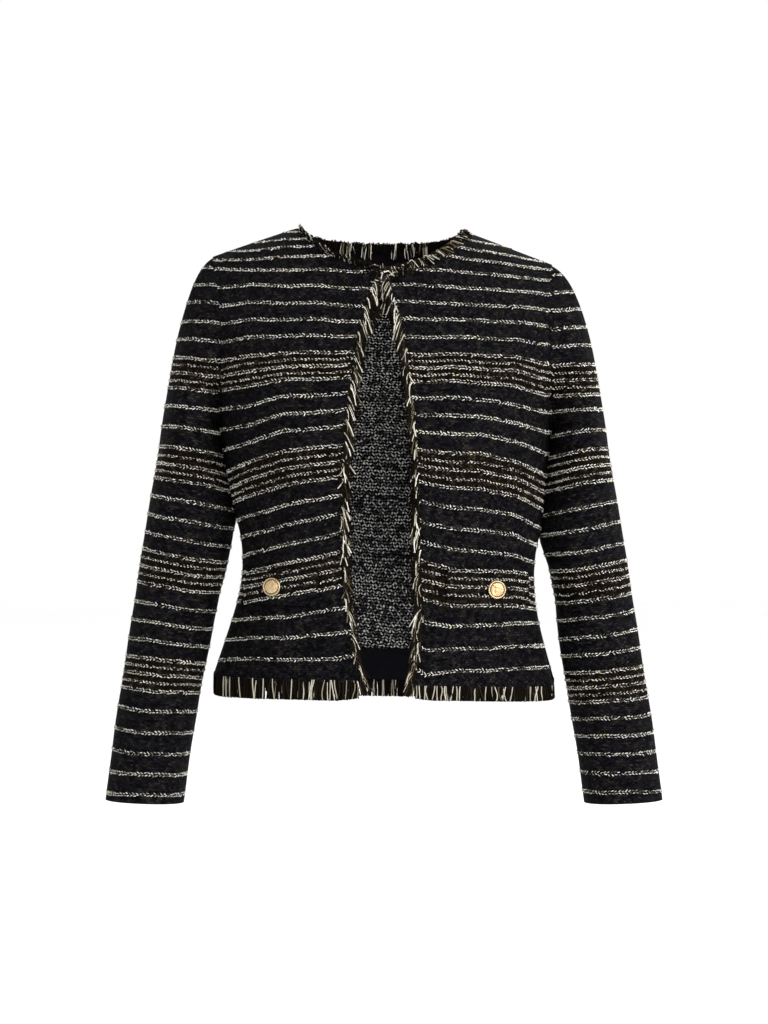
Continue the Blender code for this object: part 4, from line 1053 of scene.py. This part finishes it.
def part_of_loop(loop, chosen):
    """The longest unbroken stretch of a loop that is chosen."""
    place, normal, off = loop
    chosen = chosen(place, off)
    if chosen.all():
        return loop
    turn = int(np.flatnonzero(~chosen)[0])
    chosen, place, normal, off = (np.roll(v, -turn, axis=0) for v in (chosen, place, normal, off))
    index = np.flatnonzero(chosen)
    runs = np.split(index, np.flatnonzero(np.diff(index) > 4) + 1)
    run = max(runs, key=len)
    run = np.arange(run[0], run[-1] + 1)
    return place[run], normal[run], off[run]


def hem_of(loop):
    return part_of_loop(loop, lambda place, off: (off[:, 2] < HEM_WAY) & (place[:, 2] < HEM_TOP))


def edge_of(loop, side):
    def chosen(place, off):
        return (np.abs(place[:, 0]) < EDGE_HALF) & (-side * off[:, 0] > EDGE_WAY) & (place[:, 2] < EDGE_TOP)

    return part_of_loop(loop, chosen)


def neck_of(loop, middle, half, low):
    def chosen(place, _):
        return (np.abs(place[:, 0] - middle) < half) & (place[:, 2] > low)

    return part_of_loop(loop, chosen)


def spaced(stretch, pitch, chance, stray=0.45):
    """Roots along a stretch, at a pitch from which each may stray."""
    place, normal, off = stretch
    total = run_lengths(place)
    marks = np.arange(0.3 * pitch, total[-1], pitch)
    marks = np.clip(marks + chance.uniform(-stray, stray, len(marks)) * pitch, 0, total[-1])
    place, normal, off = (sampled(values, total, marks) for values in (place, normal, off))
    return place, unit(normal), unit(off)


def rising(value, start, run):
    """0 up to a start and 1 from a run beyond it, both in mm."""
    return np.clip((value - start * MM) / (run * MM), 0, 1)


def strands(name, paths, radii, tones, finish, tip=0.72):
    """One joined mesh of strands: paths is an array of points for each strand."""
    paths = np.asarray(paths)
    count, steps = paths.shape[:2]
    along = unit(np.gradient(paths, axis=1))
    first = unit(np.cross(along, np.array([0.31, -0.9, 0.27])))
    second = np.cross(along, first)
    turns = np.linspace(0, FULL_TURN, STRAND_SIDES, endpoint=False)[None, None, :, None]
    taper = np.linspace(1.0, tip, steps)[None, :, None, None]
    ring = np.cos(turns) * first[:, :, None] + np.sin(turns) * second[:, :, None]
    points = paths[:, :, None] + ring * np.asarray(radii)[:, None, None, None] * taper
    index = np.arange(count * steps * STRAND_SIDES).reshape(count, steps, STRAND_SIDES)
    after = np.roll(index, -1, axis=2)
    quads = np.stack([index[:, :-1], after[:, :-1], after[:, 1:], index[:, 1:]], axis=-1).reshape(-1, 4)
    faces = np.concatenate([quads, index[:, 0, ::-1], index[:, -1]])
    spread = np.repeat(np.asarray(tones), steps * STRAND_SIDES)
    return joined(name, points.reshape(-1, 3), faces.tolist(), spread, finish)


def yarn_tones(count, chance, cream, brown, gold):
    """Tones for strands: mostly cream and black, with some brown and gold."""
    pick = chance.random(count)
    tone = chance.uniform(0.0, 0.32, count)
    tone = np.where(pick < brown, chance.uniform(0.38, 0.54, count), tone)
    tone = np.where((pick >= brown) & (pick < brown + gold), chance.uniform(0.56, 0.63, count), tone)
    return np.where(pick > 1 - cream, chance.uniform(0.72, 1.0, count), tone)


def off_cloth(paths, tree, near=8 * MM):
    """Paths moved out to stay clear of the cloth's outer face."""
    moved = paths.copy()
    for path in moved:
        for k in range(1, len(path)):
            place, normal, _, _ = tree.find_nearest(Vector(path[k]), near)
            if place is None:
                continue
            high = (Vector(path[k]) - place).dot(normal)
            if high < CLEAR:
                path[k] += np.array(normal) * (CLEAR - high)
    return moved


def hem_fringe(name, stretch, seed, finish, length, cut=0.0):
    """Strands that hang straight from the hem, cut to one length, in layers."""
    chance = np.random.default_rng(seed)
    shares = np.linspace(0, 1, 6)
    paths, radii, tones = [], [], []
    for layer in HEM_LAYERS:
        place, normal, _ = spaced(stretch, layer.pitch * MM, chance)
        count = len(place)
        lean_spread, sway_spread, brown, gold = (
            (0.10, 0.7 * MM, 0.24, 0.05) if layer is HEM_LAYERS[-1] else (0.05, 0.4 * MM, 0.08, 0.0)
        )
        way = unit(np.gradient(place, axis=0))
        root = place - normal * layer.depth * MM - DOWN * TUCK
        corner = np.clip(1 - (np.abs(place[:, 0]) - OPENING_HALF) / CORNER, 0, 1) ** 1.5
        reach = length * (1 + chance.normal(0, 0.012, count)) + TUCK - cut * corner
        lean = chance.normal(0, lean_spread, count)
        sway = chance.normal(0, sway_spread, count)
        phase = chance.uniform(0, 6.28, count)
        for k in range(count):
            bow = sway[k] * (np.sin(shares * 4.2 + phase[k]) - math.sin(phase[k]))
            drift = way[k] * (lean[k] * reach[k] * shares**1.3 + bow)[:, None]
            stand = normal[k] * (chance.normal(0, 0.4 * MM) * shares)[:, None]
            paths.append(root[k] + DOWN * (reach[k] * shares)[:, None] + drift + stand)
        radii.append(layer.radius * MM * chance.uniform(0.8, 1.2, count))
        pale = layer.cream * np.clip(1.6 * np.abs(normal[:, 1]), 0.1, 1)
        tones.append(0.90 * yarn_tones(count, chance, pale, brown, gold))
    return strands(name, paths, np.concatenate(radii), np.concatenate(tones), finish, 0.95)


def falling(root, start, fall, reach, shares, bend):
    """A strand that sets out one way and bends into its fall."""
    turn = (1 - np.exp(-shares * bend))[:, None]
    way = unit(start * (1 - turn) + fall * turn)
    steps = np.diff(shares, prepend=0.0)[:, None] * reach
    return root + np.cumsum(way * steps, axis=0)


def edge_fringe(name, stretch, tree, seed, finish):
    """Strands that leave the front edge, bend down and lie along it like a rope, some over the front."""
    chance = np.random.default_rng(seed)
    shares = np.linspace(0, 1, 7)
    paths, radii, tones = [], [], []
    for layer in EDGE_LAYERS:
        place, normal, off = spaced(stretch, layer.pitch * MM, chance, 1.4)
        count = len(place)
        brown, gold = (0.10, 0.10) if layer is EDGE_LAYERS[-1] else (0.15, 0.03)
        for k in range(count):
            across, _, height = place[k]
            over_mean, spread = (0.24, 1.6) if across < 0 else (0.06, 4.0)
            start = off[k] * chance.uniform(0.4, 1.2) + DOWN * 0.5 + normal[k] * chance.uniform(-0.1, 0.35)
            low, high = rising(-height, 230, 100), rising(height, -105, 30)
            start += off[k] * chance.uniform(0.2, 1.6) * low
            over = chance.normal(over_mean, 0.16)
            reach = chance.uniform(12.0, 24.0) * MM * (1 + 0.25 * high)
            if chance.random() < 0.05:
                over, reach = chance.uniform(-0.8, -0.3), chance.uniform(10.0, 15.0) * MM
            reach = min(reach, max(height - LOWEST_EDGE_END, 2 * MM))
            fall = DOWN + off[k] * over + normal[k] * chance.normal(0.0, 0.06)
            wide = chance.uniform(-2.0, -0.6 + spread * low)
            root = place[k] - normal[k] * layer.depth * MM + off[k] * wide * MM
            path = falling(root, unit(start), unit(fall), reach, shares, 3.6 + 0.6 * low)
            curl = chance.normal(0, 0.7 * MM) * np.sin(shares * 3.4 + chance.uniform(0, 6.28))
            paths.append(path + off[k] * (curl - curl[0])[:, None])
        radii.append(layer.radius * MM * chance.uniform(0.75, 1.2, count))
        thick = 0.8 + 0.2 * rising(place[:, 2], -190, 60)
        tones.append(yarn_tones(count, chance, layer.cream * thick, brown, gold))
    paths = off_cloth(np.array(paths), tree)
    return strands(name, paths, np.concatenate(radii), np.concatenate(tones), finish)


def neck_fringe(name, stretch, outward, tree, seed, finish):
    """Short tousled loops over the neck edge, outward 1 down the front, -1 down inside the back."""
    chance = np.random.default_rng(seed)
    shares = np.linspace(0, 1, 8)
    rise = np.sin(np.minimum(shares * 1.25, 1) * math.pi)
    paths, radii, tones = [], [], []
    for layer in NECK_LAYERS:
        place, normal, off = spaced(stretch, layer.pitch * MM, chance)
        count = len(place)
        brown, gold = (0.16, 0.16) if layer is NECK_LAYERS[-1] else (0.24, 0.04)
        way = unit(np.gradient(place, axis=0))
        nearest = np.abs(place[:, :1] / MM - np.array(BUNCHES)).min(axis=1)
        bunched = (nearest < BUNCH_HALF) & (layer is not NECK_LAYERS[0])
        for k in range(count):
            root = place[k] - normal[k] * layer.depth * MM - off[k] * 1.5 * MM
            up = chance.uniform(2.0, 6.5) * MM
            fall = chance.uniform(5.0, 11.0) * MM
            aside = chance.normal(0, 5.0) * MM
            if outward < 0:
                fall = chance.uniform(9.0, 16.0) * MM if bunched[k] else chance.uniform(3.0, 8.0) * MM
                aside = chance.normal(0, 2.4) * MM
            if chance.random() < 0.12:
                aside, fall = chance.choice([-1, 1]) * chance.uniform(5.0, 9.0) * MM, fall * 0.5
            forward = outward * chance.uniform(1.5, 3.5) * MM
            if min(k, count - 1 - k) < 4:
                up, aside = up * 0.4, aside * 0.3
            curl = chance.normal(0, 0.8) * MM * np.sin(shares * 5.0 + chance.uniform(0, 6.28))
            lay = (-off[k] if outward > 0 else DOWN)[None]
            paths.append(
                root
                + off[k] * (up * rise)[:, None]
                + lay * (fall * shares**1.7)[:, None]
                + normal[k] * (forward * np.sin(shares * 1.9))[:, None]
                + way[k] * (aside * shares + curl - curl[0])[:, None]
            )
        radii.append(layer.radius * MM * chance.uniform(0.7, 1.15, count))
        tone = yarn_tones(count, chance, layer.cream, brown, gold)
        if outward < 0:
            pale = yarn_tones(count, chance, 0.72, 0.1, 0.16)
            tone = np.where(bunched, pale, chance.uniform(0, 0.36, count))
        tones.append(tone)
    paths = np.array(paths)
    if outward > 0:
        paths = off_cloth(paths, tree)
    return strands(name, paths, np.concatenate(radii), np.concatenate(tones), finish)


def knot_fringe(name, place, seed, finish):
    """The tangle where the two edges meet: ends that spread, and ends that hang over the opening."""
    chance = np.random.default_rng(seed)
    shares = np.linspace(0, 1, 8)
    paths = []
    for k in range(KNOT_ENDS):
        turn = chance.uniform(-1, 1)
        out = np.array([turn, -chance.uniform(0.3, 0.8), chance.uniform(-0.2, 0.5)])
        fall = np.array([turn * 0.22, -0.03, -1.0])
        root = place + np.array([chance.uniform(*span) for span in KNOT_BOX]) * MM
        reach = chance.uniform(9.0, 23.0) * MM
        # Every fifth end stands out sideways
        if k % 5 == 0:
            fall, reach = np.array([np.sign(turn), -0.1, 0.25]), 9.0 * MM
        paths.append(falling(root, unit(out), unit(fall), reach, shares, 4.5))
    radii = 0.64 * MM * chance.uniform(0.75, 1.2, KNOT_ENDS)
    return strands(name, paths, radii, yarn_tones(KNOT_ENDS, chance, 0.42, 0.3, 0.03), finish)


# ---- Buttons and hook

BUTTON_SIDES = 96
# Half of a button cut through: radius and height, in mm, from the shank out over the rim to the dome
BUTTON_RIM = (
    (2.4, 0.2), (2.4, 1.9), (7.6, 1.9), (9.0, 2.2), (9.8, 2.9), (9.95, 3.7), (9.7, 4.5), (9.2, 5.0),
    (8.6, 5.1), (8.1, 4.7), (7.7, 4.25),
)
DOME_RADIUS, DOME_BASE, DOME_RISE = 7.7, 4.3, 1.3
CORD_TURNS, RELIEF_BAND, RELIEF = 24, 4.4, 0.6
# The wires of the hook and eye, across and up as shares of their box's half size
EYE = (
    (0.1, -0.5), (0.5, -0.75), (0.85, -0.6), (0.85, 0.6), (0.5, 0.75), (0.1, 0.5), (-0.05, 0.0), (0.1, -0.5),
)
HOOK = ((-0.85, 0.6), (-0.3, 0.25), (0.25, 0.15), (0.32, 0.0), (0.25, -0.15), (-0.3, -0.25), (-0.85, -0.6))
WIRE_STEPS, WIRE_RADIUS = 15, 0.4 * MM


def weave(across, along):
    """Height of a plain basket relief, 0 in its grooves and 1 on its bands, which slant and take turns."""
    first, second = (across + along) / RELIEF_BAND + 0.5, (across - along) / RELIEF_BAND + 0.5
    patch = (np.floor(first) + np.floor(second)) % 2
    bands = np.where(patch == 0, np.sin(first * FULL_TURN), np.sin(second * FULL_TURN))
    return np.abs(bands) ** 0.7


def make_button(name, node, finish):
    """A domed shank button with a corded rim and a plain woven relief."""
    points, _ = arrays_of(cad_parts[node].data)
    centre = points.mean(axis=0)
    _, axes = np.linalg.eigh(np.cov((points - centre).T))
    normal = axes[:, 0] * (-1 if axes[1, 0] > 0 else 1)
    base = centre + normal * (((points - centre) @ normal).min() + 0.6 * MM)
    # The shank lets the button tip towards the front
    normal = unit(normal * 0.5 + np.array([0.0, -0.5, 0.0]))
    sideways = unit(np.cross(normal, [0.0, 0.0, 1.0]))
    upward = np.cross(normal, sideways)
    turns = np.linspace(0, FULL_TURN, BUTTON_SIDES, endpoint=False)
    spokes = np.cos(turns)[:, None] * sideways + np.sin(turns)[:, None] * upward
    dome = [(r, DOME_BASE + DOME_RISE * (1 - (r / DOME_RADIUS) ** 2)) for r in np.linspace(7.2, 0.3, 30)]
    rings, tones = [], []
    for radius, height in (*BUTTON_RIM, *dome):
        r, h, tone = (np.full(BUTTON_SIDES, float(value)) for value in (radius, height, 1))
        if radius > 8.3 and height > 2.5:
            cord = np.sin(turns * CORD_TURNS + height * 2.2)
            r, h, tone = r + 0.22 * cord, h + 0.18 * cord, 0.85 + 0.15 * cord
        elif radius > 7.1:
            tone *= 0.08
        elif height >= DOME_BASE:
            ridge = weave(radius * np.cos(turns), radius * np.sin(turns))
            h, tone = h + RELIEF * ridge, np.clip(1.35 * ridge, 0, 1)
        rings.append(base + spokes * r[:, None] * MM + normal * h[:, None] * MM)
        tones.append(tone)
    index = np.arange(len(rings) * BUTTON_SIDES).reshape(-1, BUTTON_SIDES)
    after = np.roll(index, -1, axis=1)
    faces = np.stack([index[:-1], after[:-1], after[1:], index[1:]], axis=-1).reshape(-1, 4).tolist()
    faces += [index[0, ::-1].tolist(), index[-1].tolist()]
    piece = joined(name, np.concatenate(rings), faces, np.concatenate(tones), finish)
    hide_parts(node)


def make_hook(middle, half, finish):
    """Hook and eye bent from wire, behind the two front edges."""
    paths = []
    for line in (EYE, HOOK):
        marks = np.linspace(0, len(line) - 1, WIRE_STEPS)
        across, up = (np.interp(marks, range(len(line)), values) for values in zip(*line))
        depth = np.full(WIRE_STEPS, middle[1])
        paths.append(np.stack([middle[0] + across * half[0], depth, middle[2] + up * half[2]], axis=-1))
    piece = strands("hook_and_eye", paths, [WIRE_RADIUS] * 2, [0.5] * 2, finish)
    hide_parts("neck_hook")


# ---- Stage

FLOOR_REACH, FLOOR_LEVEL = 12.0, -0.80
Light = namedtuple("Light", "name place size power")
LIGHTS = (
    Light("key", (2.4, -2.0, 0.8), 1.6, 108.0),
    Light("front", (0.3, -3.4, 0.3), 1.0, 17.0),
    Light("rim", (0.4, 1.8, 1.8), 1.6, 22.0),
)


def make_stage():
    scene = bpy.context.scene
    scene.world = bpy.data.worlds.new("studio")
    scene.world.use_nodes = True
    background = scene.world.node_tree.nodes["Background"]
    background.inputs["Color"].default_value = (1, 1, 1, 1)
    background.inputs["Strength"].default_value = 1.0
    mesh = bpy.data.meshes.new("floor")
    square = ((-1, -1), (1, -1), (1, 1), (-1, 1))
    corners = [(x * FLOOR_REACH, y * FLOOR_REACH, FLOOR_LEVEL) for x, y in square]
    mesh.from_pydata(corners, [], [(0, 1, 2, 3)])
    floor = placed("floor", mesh)
    nodes = Nodes("pale_floor")
    shade = nodes.ramp(nodes.noise(2.0, 2.0), (0.3, (0.985, 0.985, 0.985)), (0.7, (0.995, 0.995, 0.995)))
    mesh.materials.append(nodes.finish(shade, 0.9, specular=0.1))
    middle = Vector((0, 0, -0.3))
    for light in LIGHTS:
        data = bpy.data.lights.new(light.name, "AREA")
        data.shape, data.size, data.energy = "DISK", light.size, light.power
        lamp = placed(light.name, data)
        lamp.location = light.place
        lamp.rotation_euler = (middle - Vector(light.place)).to_track_quat("-Z", "Y").to_euler()
    camera = bpy.data.cameras.new("camera")
    camera.sensor_width = SENSOR
    camera.lens = SENSOR * -CAMERA_Y / (2 * MIDDLE_DOWN * UNIT)
    view = placed("camera", camera)
    view.location = (0, CAMERA_Y, CAMERA_Z)
    view.rotation_euler = (math.radians(90), 0, 0)
    scene.camera = view
    scene.view_settings.view_transform = "Standard"


# ---- Making

# Flat sizes of the sheets: width, length and area
FLAT = {
    "front_left": (0.205, 0.490, 0.0640),
    "front_right": (0.210, 0.490, 0.0665),
    "side_front_left": (0.095, 0.310, 0.0247),
    "side_front_right": (0.100, 0.310, 0.0268),
    "back": (0.500, 0.515, 0.2120),
    "sleeve_left": (0.370, 0.610, 0.1550),
    "sleeve_right": (0.370, 0.610, 0.1500),
    "pocket_flap_left": (0.100, 0.0385, 0.00385),
    "pocket_flap_right": (0.108, 0.0385, 0.0041),
    "hem_facing_back": (0.425, 0.0362, 0.0151),
}


def main():
    make_stage()
    tweed, reverse, facing = tweed_material(), reverse_material(), facing_material()
    yarn, loose, gold, wire = yarn_material(), fringe_material(), gold_material(), wire_material()
    shells, stitched = {}, {}
    for seed, part in enumerate(PARTS):
        plain = part.kind == "facing"
        shell = make_shell(part, 1 if plain else 2, FACING if plain else WALL)
        piece = shell.piece
        for look in (facing, facing, facing) if plain else (tweed, reverse, tweed):
            piece.data.materials.append(look)
        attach(piece, "root")
        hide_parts(part.node)
        shells[part.node] = shell
        if not plain:
            stitched[part.node] = make_stripes(part, shell, yarn, 100 + seed)
    # The fringe, each piece of it with a seed of its own
    trims = {node: [] for node in shells}
    for label, side in SIDES.items():
        front = shells[f"front_{label}"]
        tree = BVHTree.FromPolygons(front.points.tolist(), front.faces)
        loop, low_loop = rim_loop(front), rim_loop(shells[f"side_front_{label}"])
        length = FRINGE_LENGTH[side]
        made = hem_fringe(f"loose_hem_{label}", hem_of(loop), 21 + side, loose, length, CORNER_CUT)
        low = hem_fringe(f"loose_hem_side_{label}", hem_of(low_loop), 31 + side, loose, length)
        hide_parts(f"fringe_hem_{label}")
        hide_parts(f"fringe_hem_{label}")
        down_edge = edge_fringe(f"loose_edge_{label}", edge_of(loop, side), tree, 41 + side, loose)
        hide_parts(f"fringe_edge_{label}")
        round_neck = neck_fringe(f"loose_neck_{label}", neck_of(loop, *FRONT_NECK), 1, tree, 51 + side, loose)
        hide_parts(f"fringe_neck_{label}")
        trims[f"front_{label}"] += [made, down_edge, round_neck]
        trims[f"side_front_{label}"] += [low]
        make_button(f"gold_button_{label}", f"button_{label}", gold)
    loop = rim_loop(shells["back"])
    made = hem_fringe("loose_hem_back", hem_of(loop), 61, loose, BACK_FRINGE_LENGTH)
    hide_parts("fringe_hem_back")
    round_neck = neck_fringe("loose_neck_back", neck_of(loop, *BACK_NECK), -1, None, 62, loose)
    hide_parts("fringe_neck_back")
    trims["back"] += [made, round_neck]
    low, high = (np.array(corner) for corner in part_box("neck_hook"))
    middle, half = (low + high) / 2, (high - low) / 2
    knot_fringe("loose_knot", middle + np.array([1.0, -4.5, 6.0]) * MM, 71, loose)
    make_hook(middle, half, wire)
    for node, (width, length, area) in FLAT.items():
        rests = [f"front_{node.split('_')[-1]}"] if "flap" in node else ["back"] if node != "back" else []


main()
